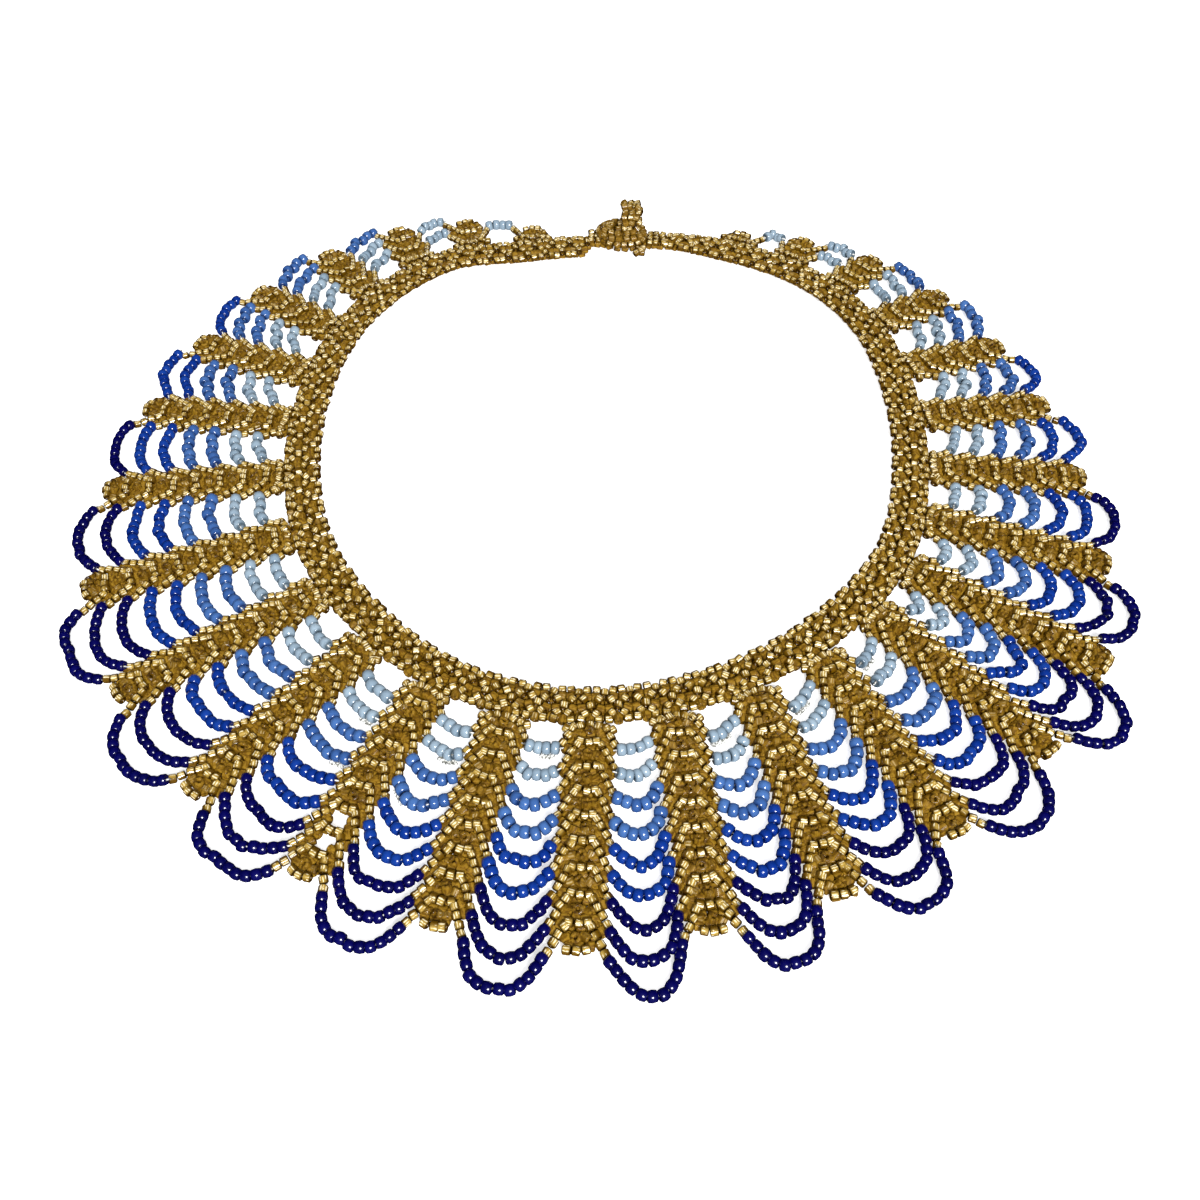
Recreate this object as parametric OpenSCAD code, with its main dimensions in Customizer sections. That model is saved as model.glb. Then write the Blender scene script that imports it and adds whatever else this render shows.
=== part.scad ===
// Beaded collar necklace lying flat: a netted neckband closed by a loop and a toggle,
// twenty-seven netted ribs that spread from it, and strings of beads slung between the ribs.
// The throat points to -Y, the closure to +Y, and the beadwork rests on Z = 0.

/* [Neckline] */
// Radius of the neckband's inner edge round the throat
throat_radius = 65; // [63:0.5:67]
// Angle that the throat arc turns through on each side
throat_turn = 73; // [71:0.5:75]
// Radius of the inner edge along the shoulder
shoulder_radius = 106; // [102:1:110]
// Angle that the shoulder arc turns through
shoulder_turn = 30; // [28:0.5:32]
// Radius of the inner edge at the corner of the nape
nape_radius = 50; // [48:0.5:52]
// Angle that the nape arc turns through
nape_turn = 53; // [51:0.5:55]

/* [Neckband] */
// Width of the netted band
band_width = 8.8; // [8.4:0.1:9]
// Height of the band along its middle
band_crown = 3.2; // [2.8:0.1:3.6]
// Height of the band at its edges
band_edge = 2.2; // [1.8:0.1:2.6]
// Distance across the middle line at which the left end of the band stops
band_stop_left = 6.9; // [6.6:0.1:8]
// Distance across the middle line at which the right end of the band stops
band_stop_right = 12; // [11.7:0.1:13]
// Length over which the band draws in to its left end
draw_left = 2; // [1:0.5:5]
// Length over which the band draws in to its right end
draw_right = 15; // [5:1:18]
// How much nearer to the throat the left end of the band lies than the right end
left_dip = 4.2; // [3:0.1:4.6]

/* [Ribs] */
// Ribs on each side of the one at the throat
ribs_each_side = 13; // [13:1:13]
// Distance along the neckline from the throat to the last rib on the left
reach_left = 199.8; // [198:0.1:200]
// Distance along the neckline from the throat to the last rib on the right
reach_right = 191.2; // [190.6:0.1:191.6]
// How far the ribs are drawn together and pushed apart along the neckline
bunching = 2.2; // [1.5:0.1:2.6]
// Degrees that the ribs on the left turn through in each millimetre of neckline
turn_left = 0.87; // [0.86:0.005:0.88]
// Degrees that the ribs on the right turn through in each millimetre of neckline
turn_right = 0.82; // [0.81:0.005:0.83]
// Pitch of the bars across a rib, at the throat
bar_pitch = 5.03; // [4.95:0.01:5.1]
// Greatest half width of a rib, at the foot of each arch of beads
rib_half_width = 5.6; // [5:0.1:5.7]
// Half width of a rib at the bar on top of each arch
rib_waist = 3.2; // [3:0.1:3.4]
// Height of a rib along its axis
rib_crown = 3; // [2.6:0.1:3.6]
// Height of a rib at its edges
rib_edge = 2; // [1.8:0.1:2.4]
// Width of the cell that has lost its bead
open_cell = 2; // [1.5:0.1:2.4]

/* [Strings] */
// Most strings slung in one bay
most_rows = 9; // [9:1:9]
// Beads on the first string, which grows by one for each further row
first_beads = 4; // [4:1:4]
// Length of string that one bead takes up
bead_pitch = 1.88; // [1.75:0.01:1.95]
// Diameter of the pale, sky and royal beads
bead_d = 2.1; // [1.9:0.1:2.2]
// Diameter of the navy beads
navy_d = 1.9; // [1.8:0.1:2]
// Height of a string's underside above the surface
string_lift = 0.3; // [0.2:0.1:0.4]
// Steepest angle at which a string leaves a rib
steepest = 60; // [50:1:62]
// Least slack of a string, as a part of its span, for each row out from the neckband
slack = 0.009; // [0.006:0.001:0.012]

/* [Closure] */
// Height of the beaded toggle
toggle_height = 12.5; // [11:0.5:14]
// Width of the toggle
toggle_width = 6; // [5.6:0.1:6.2]
// Thickness of the toggle
toggle_thick = 3.4; // [3:0.1:3.6]
// Angle by which the toggle leans away from the throat
toggle_lean = 10; // [6:1:12]

/* [Hidden] */
$fn = 64;

gold = "#b08a2c";
dark_gold = "#8a6420";
pale_blue = "#a9bccb";
sky_blue = "#3f8fd6";
royal_blue = "#1f5fd0";
navy = "#141c4a";

// Clearance between neighbouring pieces
gap = 0.3;
// Half width of a rib where it meets the neckband, and how far it keeps from it beyond the gap
rib_root = 4.4;
root_clear = 0.1;
// Length of the upright edge at the foot of an arch, and how far the edge steps back above it
foot_length = 0.9;
foot_step = 0.3;
// Tip of a rib, as steps in from its side and out past its last bar: the foot that reaches
// for the last string, and the lobe past the last arch of a side that has a row less
FOOT = [[0.3, 0.9], [1, 1.5], [2.6, 0.3]];
LOBE = [[-0.4, -3], [0.9, -1.5]];
// Where the tip closes on the axis, for a rib with as many rows on both sides or not
tip_even = 0.2;
tip_uneven = -1;
tip_half = 0.6;
// Where a string hangs beside a rib: out past the bar, and across past the foot of the arch
hang = 1.45;
beside = rib_half_width + 0.1;
// Distance from the middle line at which the dip of the left end starts, and the length that it takes
dip_start = 48;
dip_ease = 26;
// Place of the front of the neckline's inner edge, with the middle of the whole at the origin
front_x = 0.54;
front_y = -45.87;

// The soft beadwork gives a little along some stretches of the neckline. A swell is half a wave:
// 1 in the middle of its stretch, and 0 at both ends and beyond them.
function swell(s, stretch) = s > stretch[0] && s < stretch[1]
    ? sin(180 * (s - stretch[0]) / (stretch[1] - stretch[0]))
    : 0;

// How far the band strays outwards from its arcs: out beside the throat on the left,
// in beside it on the right, and in a little along the right shoulder and the left of the nape
out_left = 1.5;
in_right = 1.2;
in_shoulder = 0.8;
in_nape = 0.5;
left_stretch = [-47, 15];
right_stretch = [15, 75];
shoulder_stretch = [85, 165];
nape_stretch = [-180, -130];
function stray_at(s) =
    out_left * swell(s, left_stretch)
    - in_right * swell(s, right_stretch)
    - in_shoulder * swell(s, shoulder_stretch)
    - in_nape * swell(s, nape_stretch);

// The ribs are counted from the left end of the collar round the throat to the right end,
// and their numbers from the rib at the throat, less than nothing on the left
bays = 2 * ribs_each_side;
function number_of(rib) = rib - ribs_each_side;

// Where a rib grows from the neckline, measured along it from the throat: in equal steps that a wave
// draws together and pushes apart. On the left the wave starts at the throat and ends a rib short of
// the last, and on the right it starts at the fourth rib.
wave_left = 12;
wave_right = 9;
wave_start = 4;
function left_root(n) = reach_left * n / ribs_each_side - bunching * sin(360 * min(n / wave_left, 1));
function right_root(n) =
    reach_right * n / ribs_each_side - bunching * sin(360 * max(n - wave_start, 0) / wave_right);
function root_of(rib) =
    let (n = number_of(rib))
    n < 0 ? -left_root(-n) : right_root(n);

// Direction in which a rib points, turned from straight ahead: it turns evenly along the neckline,
// the ribs beside the throat lean in to it, and those at the right shoulder lean away from it
lean_left = 2;
lean_right = 6;
lean_away = 4;
lean_left_stretch = [-50, 0];
lean_right_stretch = [0, 80];
lean_away_stretch = [80, 135];
function aim_of(rib) =
    let (s = root_of(rib))
    (s < 0 ? turn_left : turn_right) * s
    + lean_left * swell(s, lean_left_stretch)
    - lean_right * swell(s, lean_right_stretch)
    + lean_away * swell(s, lean_away_stretch);

// Pitch of a rib's bars: the netting is looser towards the ends, and in the rib at the throat
looser_ends = 0.0018;
looser_throat = 0.15;
throat_stretch = [-10, 10];
function pitch_of(rib) =
    let (s = root_of(rib))
    bar_pitch + looser_ends * abs(s) + looser_throat * swell(s, throat_stretch);

// How far out from its root the first bar of a rib lies, less than nothing where it lies in the band:
// deeper along both sides of the throat, shallower along the shoulders and at the left end
first_bar = -1.2;
deeper = 1;
shallower = 0.7;
shallow_end = 1.5;
deep_stretch = [35, 115];
shallow_stretch = [110, 180];
end_stretch = [-215, -165];
function first_of(rib) =
    let (s = root_of(rib))
    first_bar
    - deeper * swell(abs(s), deep_stretch)
    + shallower * swell(abs(s), shallow_stretch)
    + shallow_end * swell(s, end_stretch);

// Rows of strings in a bay, counted from the left end: they grow by one from each end
function bay_rows(bay) = bay < 0 || bay >= bays ? 0 : min(bay + 1, bays - bay, most_rows);
function rib_rows(rib) = max(bay_rows(rib - 1), bay_rows(rib));

// The inner edge of the neckband is a chain of tangent arcs on each side of the throat.
// The last one, across the nape, meets its mirror image square to the middle line.
arc_turn = [
    throat_turn,
    shoulder_turn,
    nape_turn,
    180 - throat_turn - shoulder_turn - nape_turn
];
function square_to(heading) = [sin(heading), -cos(heading)];
function along(heading) = [cos(heading), sin(heading)];
function arc_heading(i) = i == 0 ? 0 : arc_heading(i - 1) + arc_turn[i - 1];
nape_centre = [0, throat_radius]
    + (throat_radius - shoulder_radius) * square_to(arc_heading(1))
    + (shoulder_radius - nape_radius) * square_to(arc_heading(2));
back_radius = nape_radius + nape_centre[0] / sin(arc_heading(3));
arc_radius = [throat_radius, shoulder_radius, nape_radius, back_radius];
function arc_centre(i) = i == 0
    ? [0, throat_radius]
    : arc_centre(i - 1) + (arc_radius[i - 1] - arc_radius[i]) * square_to(arc_heading(i));
function arc_length(radius, turn) = radius * turn * PI / 180;
function arc_start(i) = i == 0 ? 0 : arc_start(i - 1) + arc_length(arc_radius[i - 1], arc_turn[i - 1]);
function arc_at(s) = s < arc_start(1) ? 0 : s < arc_start(2) ? 1 : s < arc_start(3) ? 2 : 3;

// Heading of the neckline, and the point of it pushed outwards, at a distance from the throat
function side_heading(s, i) = arc_heading(i) + (s - arc_start(i)) / arc_radius[i] * 180 / PI;
function side_point(s, i, out) = arc_centre(i) + (arc_radius[i] + out) * square_to(side_heading(s, i));
function neck_point(s, out) =
    let (place = side_point(abs(s), arc_at(abs(s)), out + stray_at(s)))
    s < 0 ? [-place[0], place[1] - dip_at(s)] : place;

// The left end of the band dips towards the throat, and eases into the dip from a distance
function dip_at(s) =
    let (t = min(max((dip_start - band_half - s) / dip_ease, 0), 1))
    left_dip * t * t * (3 - 2 * t);

// A place beside a rib's axis: across to the right of it, and out from its root
function rib_place(rib, across, out) =
    neck_point(root_of(rib), band_width + gap)
    + across * along(aim_of(rib))
    + out * square_to(aim_of(rib));
function bar_out(rib, k) = first_of(rib) + (k - 1) * pitch_of(rib);

// Radius of the dome that stands crown high in the middle and edge high at half_width
function dome_radius(half_width, crown, edge) =
    (pow(half_width, 2) + pow(crown - edge, 2)) / (2 * (crown - edge));

module placed() {
    translate([front_x, front_y, 0])
        children();
}

// Distances from the throat at which the band's two ends stop, short of the middle line
band_half = arc_start(4);
stop_right = band_half - band_stop_right;
stop_left = band_half - band_stop_left;
end_left = 7;
band_steps = 96;
crown_steps = 6;

// Width of the band, which draws in towards each of its ends
function drawn_in(from_end, end_width, length) =
    end_width + (band_width - end_width) * min(from_end / length, 1);
function band_width_at(s) = s < 0
    ? drawn_in(s + stop_left, end_left, draw_left)
    : drawn_in(stop_right - s, neck_right, draw_right);

// Ring of points round the band at one station: along the flat underside, then back over the dome
function band_ring(s) = let (w = band_width_at(s), in = (band_width - w) / 2) [
    for (p = [
        [0, 0],
        for (i = [0:crown_steps])
            let (t = i / crown_steps)
            [w * t, band_edge + (band_crown - band_edge) * (1 - pow(2 * t - 1, 2))],
        [w, 0]
    ])
        let (place = neck_point(s, in + p[0]))
        [place[0], place[1], p[1]]
];

// The band is one closed skin, swept along the neckline from end to end
module neckband() {
    ring = crown_steps + 3;
    points = [
        for (i = [0:band_steps])
            each band_ring(-stop_left + (stop_left + stop_right) * i / band_steps)
    ];
    sides = [
        for (i = [0:band_steps - 1], j = [0:ring - 1])
            let (a = i * ring + j, b = i * ring + (j + 1) % ring)
            each [[a, b, a + ring], [b, b + ring, a + ring]]
    ];
    first_end = [for (j = [ring - 1:-1:0]) j];
    last_end = [for (j = [0:ring - 1]) band_steps * ring + j];
    color(gold)
        placed()
            polyhedron(points, concat(sides, [first_end, last_end]));
}

// Root of a rib, along the outer edge of the neckband, seen from the rib's own axis
function rib_root_line(rib) = [
    for (t = [-1:0.5:1])
        let (place = neck_point(root_of(rib) + t * rib_root, band_width + gap + root_clear)
            - neck_point(root_of(rib), band_width + gap))
        [place * along(aim_of(rib)), place * square_to(aim_of(rib))]
];

// Edge of a rib on one side, from the root to the foot of the last arch:
// it widens along each arch and steps back in at the next bar
function rib_side(rib, rows, side) = [
    for (k = [1:1:rows])
        each [
            if (k > 1)
                [side * rib_waist, bar_out(rib, k) - foot_step],
            [side * rib_half_width, bar_out(rib, k + 1) - foot_length],
            [side * rib_half_width, bar_out(rib, k + 1)]
        ]
];
function reversed(list) = [for (i = [len(list) - 1:-1:0]) list[i]];

// End of one side: the foot, or the lobe where the bay on that side has a row less
function rib_end(rib, rows, side) = let (last = bar_out(rib, rib_rows(rib) + 1))
    rows == rib_rows(rib)
    ? [
        for (p = FOOT)
            [side * (rib_half_width - p[0]), last + p[1]],
        [side * tip_half, last + (bay_rows(rib - 1) == bay_rows(rib) ? tip_even : tip_uneven)]
    ]
    : [
        [side * rib_waist, max(bar_out(rib, rows + 1) - foot_step, foot_length)],
        for (p = LOBE)
            [side * (rib_waist - p[0]), max(last + p[1], bar_out(rib, rows + 1) + foot_length)]
    ];
function rib_edge_line(rib, rows, side) = concat(rib_side(rib, rows, side), rib_end(rib, rows, side));

module rib_outline(rib) {
    polygon(concat(
        rib_root_line(rib),
        rib_edge_line(rib, bay_rows(rib), 1),
        reversed(rib_edge_line(rib, bay_rows(rib - 1), -1))
    ));
}

// Netted rib, flat below and domed across, in its place beside the neckband
module rib_body(rib) {
    dome = dome_radius(rib_half_width, rib_crown, rib_edge);
    reach = bar_out(rib, rib_rows(rib) + 1) + 5;
    translate(neck_point(root_of(rib), band_width + gap))
        rotate([0, 0, aim_of(rib) + 180])
            mirror([1, 0, 0])
                intersection() {
                    linear_extrude(rib_crown)
                        rib_outline(rib);
                    translate([0, -1, rib_crown - dome])
                        rotate([-90, 0, 0])
                            cylinder(r = dome, h = reach, $fn = 180);
                }
}

// Cell of the netting that has lost its bead, seen through as a hole
module lost_bead(rib, cell) {
    translate(rib_place(rib, 0, bar_out(rib, cell) + pitch_of(rib) / 2))
        translate([0, 0, -1])
            cylinder(d = open_cell, h = rib_crown + 2);
}

module rib(number) {
    color(gold)
        placed()
            rib_body(number - 1);
}

// The rib to the left of the throat has two open cells near its tip
module rib_with_lost_beads(number) {
    color(gold)
        placed()
            difference() {
                rib_body(number - 1);
                for (cell = [7, 8])
                    lost_bead(number - 1, cell);
            }
}

// Half the angle of the arc whose chord is the given part of its length,
// found by halving the range between flat and steepest
function half_angle(part, low = 1, high = steepest, turns = 14) =
    let (middle = (low + high) / 2)
    turns == 0 ? middle
    : sin(middle) / (middle * PI / 180) > part ? half_angle(part, middle, high, turns - 1)
    : half_angle(part, low, middle, turns - 1);

// String of a row slung from one point to another, hanging outwards by what its length allows:
// its ends are the first and last bead's centres, and it is never drawn quite tight
module bead_string(from, to, k, d) {
    chord = norm(to - from);
    length = max((k + first_beads - 2) * bead_pitch, chord * (1 + slack * k));
    half = half_angle(chord / length);
    radius = chord / 2 / sin(half);
    heading = atan2(to[1] - from[1], to[0] - from[0]);
    centre = (from + to) / 2 - radius * cos(half) * square_to(heading);
    translate([centre[0], centre[1], string_lift + d / 2])
        rotate([0, 0, heading - 90 - half])
            rotate_extrude(angle = 2 * half)
                translate([radius, 0])
                    circle(d = d);
}

// One row of strings, one in each bay that has it, hung from the feet of the arches
module loops_row(k, d, tint) {
    color(tint)
        placed()
            for (bay = [0:bays - 1])
                if (bay_rows(bay) >= k)
                    bead_string(
                        rib_place(bay, beside, bar_out(bay, k + 1) + hang),
                        rib_place(bay + 1, -beside, bar_out(bay + 1, k + 1) + hang),
                        k,
                        d
                    );
}

// The closure lies across the middle of the band at the back
closure_out = 3.6;
closure_y = arc_centre(3)[1] + back_radius + closure_out;
neck_thick = 3;
neck_left = 5;
neck_right = 5.4;
ring_left = -5.9;
ring_right = 7.8;
ring_depth = 9.4;
ring_under = 2.1;
ring_top = 4.9;
toggle_x = 3;
toggle_y = closure_y - 1;
toggle_half = toggle_thick / 2 / cos(toggle_lean);
stem_width = 3;
stem_top = ring_under - gap;
// The slot in the ring follows the lean of the toggle between the ring's two faces
slot_front = toggle_y - toggle_half + ring_under * tan(toggle_lean) - gap;
slot_back = toggle_y + toggle_half + ring_top * tan(toggle_lean) + gap;
// Knot of beads at the toggle's foot, which shows in front of the ring
knot_d = 3.4;
knot_x = 5.6;
knot_y = closure_y - 5;

module stadium(length, width) {
    translate([width / 2, 0])
        circle(d = width);
    translate([length - width / 2, 0])
        circle(d = width);
    translate([width / 2, -width / 2])
        square([length - width, width]);
}

// Loop at the left end of the band: a narrow neck and a raised ring that the toggle fills
module clasp_loop() {
    slot_width = toggle_width + 2 * gap;
    color(dark_gold)
        placed() {
            translate([-band_stop_left + gap, closure_y - neck_left / 2, 0])
                cube([band_stop_left + ring_left + 2, neck_left, neck_thick]);
            difference() {
                translate([ring_left, closure_y, ring_under])
                    linear_extrude(ring_top - ring_under)
                        stadium(ring_right - ring_left, ring_depth);
                translate([toggle_x - slot_width / 2, slot_front, ring_under - 1])
                    cube([slot_width, slot_back - slot_front, ring_top - ring_under + 2]);
            }
        }
}

// Bar of the toggle, which leans back and is cut off level with the surface
module toggle_bar() {
    intersection() {
        rotate([-toggle_lean, 0, 0])
            translate([-toggle_width / 2, -toggle_thick / 2, -1])
                cube([toggle_width, toggle_thick, toggle_height + 1]);
        translate([-toggle_width, -toggle_width, 0])
            cube([2 * toggle_width, 2 * toggle_width, 2 * toggle_height]);
    }
}

// Toggle at the right end of the band: a stem and a knot that lie under the ring, and a bar that stands
module clasp_toggle() {
    color(dark_gold)
        placed() {
            translate([toggle_x, toggle_y - stem_width / 2, 0])
                cube([band_stop_right - gap - toggle_x, stem_width, stem_top]);
            translate([ring_right + gap, closure_y - neck_right / 2, 0])
                cube([band_stop_right - 2 * gap - ring_right, neck_right, neck_thick]);
            translate([knot_x, knot_y, 0])
                cylinder(d = knot_d, h = stem_top);
            translate([knot_x - knot_d / 2, knot_y, 0])
                cube([knot_d, toggle_y - knot_y, stem_top]);
            translate([toggle_x, toggle_y, 0])
                toggle_bar();
        }
}

neckband();
rib(1);  // rib_01
rib(2);  // rib_02
rib(3);  // rib_03
rib(4);  // rib_04
rib(5);  // rib_05
rib(6);  // rib_06
rib(7);  // rib_07
rib(8);  // rib_08
rib(9);  // rib_09
rib(10);  // rib_10
rib(11);  // rib_11
rib_with_lost_beads(12);  // rib_12
rib(13);  // rib_13
rib(14);  // rib_14
rib(15);  // rib_15
rib(16);  // rib_16
rib(17);  // rib_17
rib(18);  // rib_18
rib(19);  // rib_19
rib(20);  // rib_20
rib(21);  // rib_21
rib(22);  // rib_22
rib(23);  // rib_23
rib(24);  // rib_24
rib(25);  // rib_25
rib(26);  // rib_26
rib(27);  // rib_27
loops_row(1, bead_d, pale_blue);  // loops_row_1
loops_row(2, bead_d, pale_blue);  // loops_row_2
loops_row(3, bead_d, sky_blue);  // loops_row_3
loops_row(4, bead_d, sky_blue);  // loops_row_4
loops_row(5, bead_d, royal_blue);  // loops_row_5
loops_row(6, bead_d, royal_blue);  // loops_row_6
loops_row(7, navy_d, navy);  // loops_row_7
loops_row(8, navy_d, navy);  // loops_row_8
loops_row(9, navy_d, navy);  // loops_row_9
clasp_loop();
clasp_toggle();
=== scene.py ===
# %% [markdown]
# # A beaded collar necklace
# The collar is worked from glass seed beads alone: a netted gold neckband, twenty-seven netted
# gold ribs that spread from it, and strings of blue beads slung between the ribs. A real collar
# holds nothing but beads and thread, so this scene holds nothing else either. Every bead is a small
# turned ring of glass, and the lesson is how to place more than nine thousand of them with a few
# short formulas.
#
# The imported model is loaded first. It is the fixed frame that says where everything goes.

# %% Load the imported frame
import bpy
import numpy as np
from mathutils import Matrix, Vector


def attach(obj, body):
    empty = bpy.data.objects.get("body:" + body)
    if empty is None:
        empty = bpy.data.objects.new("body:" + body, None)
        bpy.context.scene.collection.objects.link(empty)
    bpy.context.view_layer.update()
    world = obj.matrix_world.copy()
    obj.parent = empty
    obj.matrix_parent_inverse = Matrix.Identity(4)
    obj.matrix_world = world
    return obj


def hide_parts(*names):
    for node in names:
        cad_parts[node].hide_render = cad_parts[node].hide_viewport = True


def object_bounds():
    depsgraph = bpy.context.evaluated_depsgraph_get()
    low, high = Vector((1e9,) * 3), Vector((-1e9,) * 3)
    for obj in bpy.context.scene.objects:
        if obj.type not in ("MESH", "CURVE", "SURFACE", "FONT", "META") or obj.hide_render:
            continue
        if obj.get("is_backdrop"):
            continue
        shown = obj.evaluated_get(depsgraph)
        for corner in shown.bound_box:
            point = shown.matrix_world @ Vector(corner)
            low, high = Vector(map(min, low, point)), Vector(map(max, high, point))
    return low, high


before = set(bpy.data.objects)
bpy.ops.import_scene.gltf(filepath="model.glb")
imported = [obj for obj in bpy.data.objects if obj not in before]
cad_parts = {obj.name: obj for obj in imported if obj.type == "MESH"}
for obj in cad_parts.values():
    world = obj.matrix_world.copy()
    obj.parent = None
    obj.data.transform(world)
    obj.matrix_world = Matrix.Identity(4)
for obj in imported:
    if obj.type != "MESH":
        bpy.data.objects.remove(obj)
cad_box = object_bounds()
print("packed nodes:", len(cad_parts), "box", [tuple(round(c, 4) for c in p) for p in cad_box])

# %% [markdown]
# ## The camera
# The collar lies on a table and is looked down on from close by, at about fifty-two degrees, so the
# throat looks large and the closure small. A lens as long as its sensor is wide gives that field.

# %% Camera
MM = 0.001
# the eye's place in millimetres, and its tilt from straight down and its swing in degrees
EYE, TILT, SWING = np.array([8.12, -179.76, 199]), 38.1, 2.6
# the lens and the nearest thing that it sees, in millimetres too
LENS, NEAREST = 36, 10
camera = bpy.data.objects.new("camera", bpy.data.cameras.new("camera"))
camera.data.lens = LENS
camera.data.sensor_width = LENS
camera.data.clip_start = NEAREST * MM
camera.location = EYE * MM
camera.rotation_euler = np.radians([TILT, 0, SWING])
bpy.context.scene.collection.objects.link(camera)
bpy.context.scene.camera = camera
print("camera height in mm:", round(camera.location.z / MM))

# %% [markdown]
# ## The neckline
# Everything hangs from the inner edge of the neckband. As it lies, that edge is a chain of arcs that
# run smoothly into each other on each side of the throat. A place on it is a distance along it, and
# a place beside it is that distance and how far outwards it is. Both come as whole arrays, so one
# call places a thousand beads. Lengths are millimetres until they go into a mesh.

# %% Directions
def along(heading):
    """Unit vector that points the way of a heading: its cosine and its sine."""
    return np.stack([np.cos(heading), np.sin(heading)], -1)


def square_to(heading):
    """Unit vector a quarter turn to the right of a heading, which points away from the neck."""
    return np.stack([np.sin(heading), -np.cos(heading)], -1)


print("at the throat the neckline runs", along(0.0), "and outwards is", square_to(0.0))

# %% Arcs on each side of the throat
# place of the edge at the throat, before the soft band strays from it
FRONT = np.array([0.54, -45.87])
# how far each arc turns, and the radii of the first three; the fourth ends square to the middle line
TURNS = np.radians([73, 30, 53, 24])
THROAT, SHOULDER, NAPE = 65, 106, 50
HEADINGS = np.concatenate([[0], np.cumsum(TURNS)[:-1]])
nape_centre = (np.array([0, THROAT]) + (THROAT - SHOULDER) * square_to(HEADINGS[1])
               + (SHOULDER - NAPE) * square_to(HEADINGS[2]))
BACK = NAPE + nape_centre[0] / np.sin(HEADINGS[3])
RADII = np.array([THROAT, SHOULDER, NAPE, BACK])
STARTS = np.concatenate([[0], np.cumsum(RADII * TURNS)[:-1]])
STEPS = (RADII[:-1] - RADII[1:])[:, None] * square_to(HEADINGS[1:])
CENTRES = np.array([0, THROAT]) + np.vstack([[0, 0], np.cumsum(STEPS, 0)])
HALF_LINE = float(np.sum(RADII * TURNS))
print("neckline in mm:", round(2 * HALF_LINE), "back radius", round(BACK, 1))

# %% Places beside the neckline
# how far the soft band strays outwards, and from where to where along the neckline
STRAYS = [(1.5, -47, 15), (-1.2, 15, 75), (-0.8, 85, 165), (-0.5, -180, -130)]
# how far the left end dips, and how far before the closure the dip starts and over what it eases in
DIP, DIP_START, DIP_EASE = 4.2, 48, 26


def swells(s, stretches):
    """Half waves along the neckline, added up: each is its height times the sine that is 0 at both
    ends of its stretch and 1 in the middle."""
    return sum(height * np.sin(np.pi * np.clip((s - start) / (end - start), 0, 1))
               for height, start, end in stretches)


def dip(s):
    """How far the left end of the neckline lies nearer to the throat: a part of the whole dip that
    eases in and out as 3 t squared less 2 t cubed."""
    t = np.clip((DIP_START - HALF_LINE - s) / DIP_EASE, 0, 1) * (s < 0)
    return DIP * t * t * (3 - 2 * t)


def neckline(s, out):
    """Places, and headings of the edge, at distances s from the throat and out millimetres outwards.
    A place is its arc's centre plus the radius grown by out, square to the heading there. The
    heading grows from the arc's start by the distance over the radius. The left side is mirrored."""
    s, out = np.broadcast_arrays(np.asarray(s, float), out)
    out = out + swells(s, STRAYS)
    side = np.where(s < 0, -1.0, 1.0)
    arc = np.clip(np.searchsorted(STARTS, np.abs(s), side="right") - 1, 0, len(RADII) - 1)
    heading = HEADINGS[arc] + (np.abs(s) - STARTS[arc]) / RADII[arc]
    place = CENTRES[arc] + (RADII[arc] + out)[..., None] * square_to(heading)
    place = place * np.stack([side, np.ones_like(side)], -1)
    return place + FRONT - np.stack([np.zeros_like(side), dip(s)], -1), side * heading


print("the throat lies at", neckline(0.0, 0.0)[0].round(1))

# %% [markdown]
# ## The plan of the ribs
# Each rib has a root on the neckline, a direction of its own, and a pitch at which its bars repeat.
# The steps between the roots are even, apart from a wave that draws the ribs together towards the
# throat and pushes them apart again further round. The directions turn evenly along the neckline,
# and the ribs beside the throat lean in to it. The netting is a little looser towards the ends.
# The bays between the ribs hold one string more each, from either end, up to nine.

# %% Roots and directions of the ribs
# ribs on each side of the middle one, and how far from the throat the last roots are
EACH_SIDE = 13
REACH_LEFT, REACH_RIGHT = 199.8, 191.2
# height of the wave that bunches the roots, and the ribs that it runs between on each side
BUNCHING, WAVE_LEFT, WAVE_RIGHT = 2.2, (0, 12), (4, 13)
# degrees that the ribs turn for each millimetre, and stretches where they lean over more
TURN_LEFT, TURN_RIGHT = 0.87, 0.82
LEANS = [(2, -50, 0), (-6, 0, 80), (4, 80, 135)]
number = np.arange(-EACH_SIDE, EACH_SIDE + 1)


def bunched(reach, first, last):
    """Distances of the roots from the throat: even steps up to the reach, less a whole sine wave
    from the first rib to the last."""
    part = np.clip((np.abs(number) - first) / (last - first), 0, 1)
    return reach * (np.abs(number) / EACH_SIDE) - BUNCHING * np.sin(2 * np.pi * part)


ROOTS = np.where(number < 0, -bunched(REACH_LEFT, *WAVE_LEFT), bunched(REACH_RIGHT, *WAVE_RIGHT))
AIMS = np.where(number < 0, TURN_LEFT, TURN_RIGHT) * ROOTS + swells(ROOTS, LEANS)
print("ribs:", len(ROOTS), "roots from", round(ROOTS[0]), "to", round(ROOTS[-1]), "mm")

# %% Bars of the ribs and rows of the bays
# width of the neckband, and the gap between it and a rib
BAND, RIB_GAP = 8.8, 0.3
ROOT_OUT = BAND + RIB_GAP
# pitch of the bars, what it grows by for each millimetre, and where it is wider still
PITCH, LOOSER, WIDER = 5.03, 0.0018, [(0.15, -10, 10)]
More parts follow.
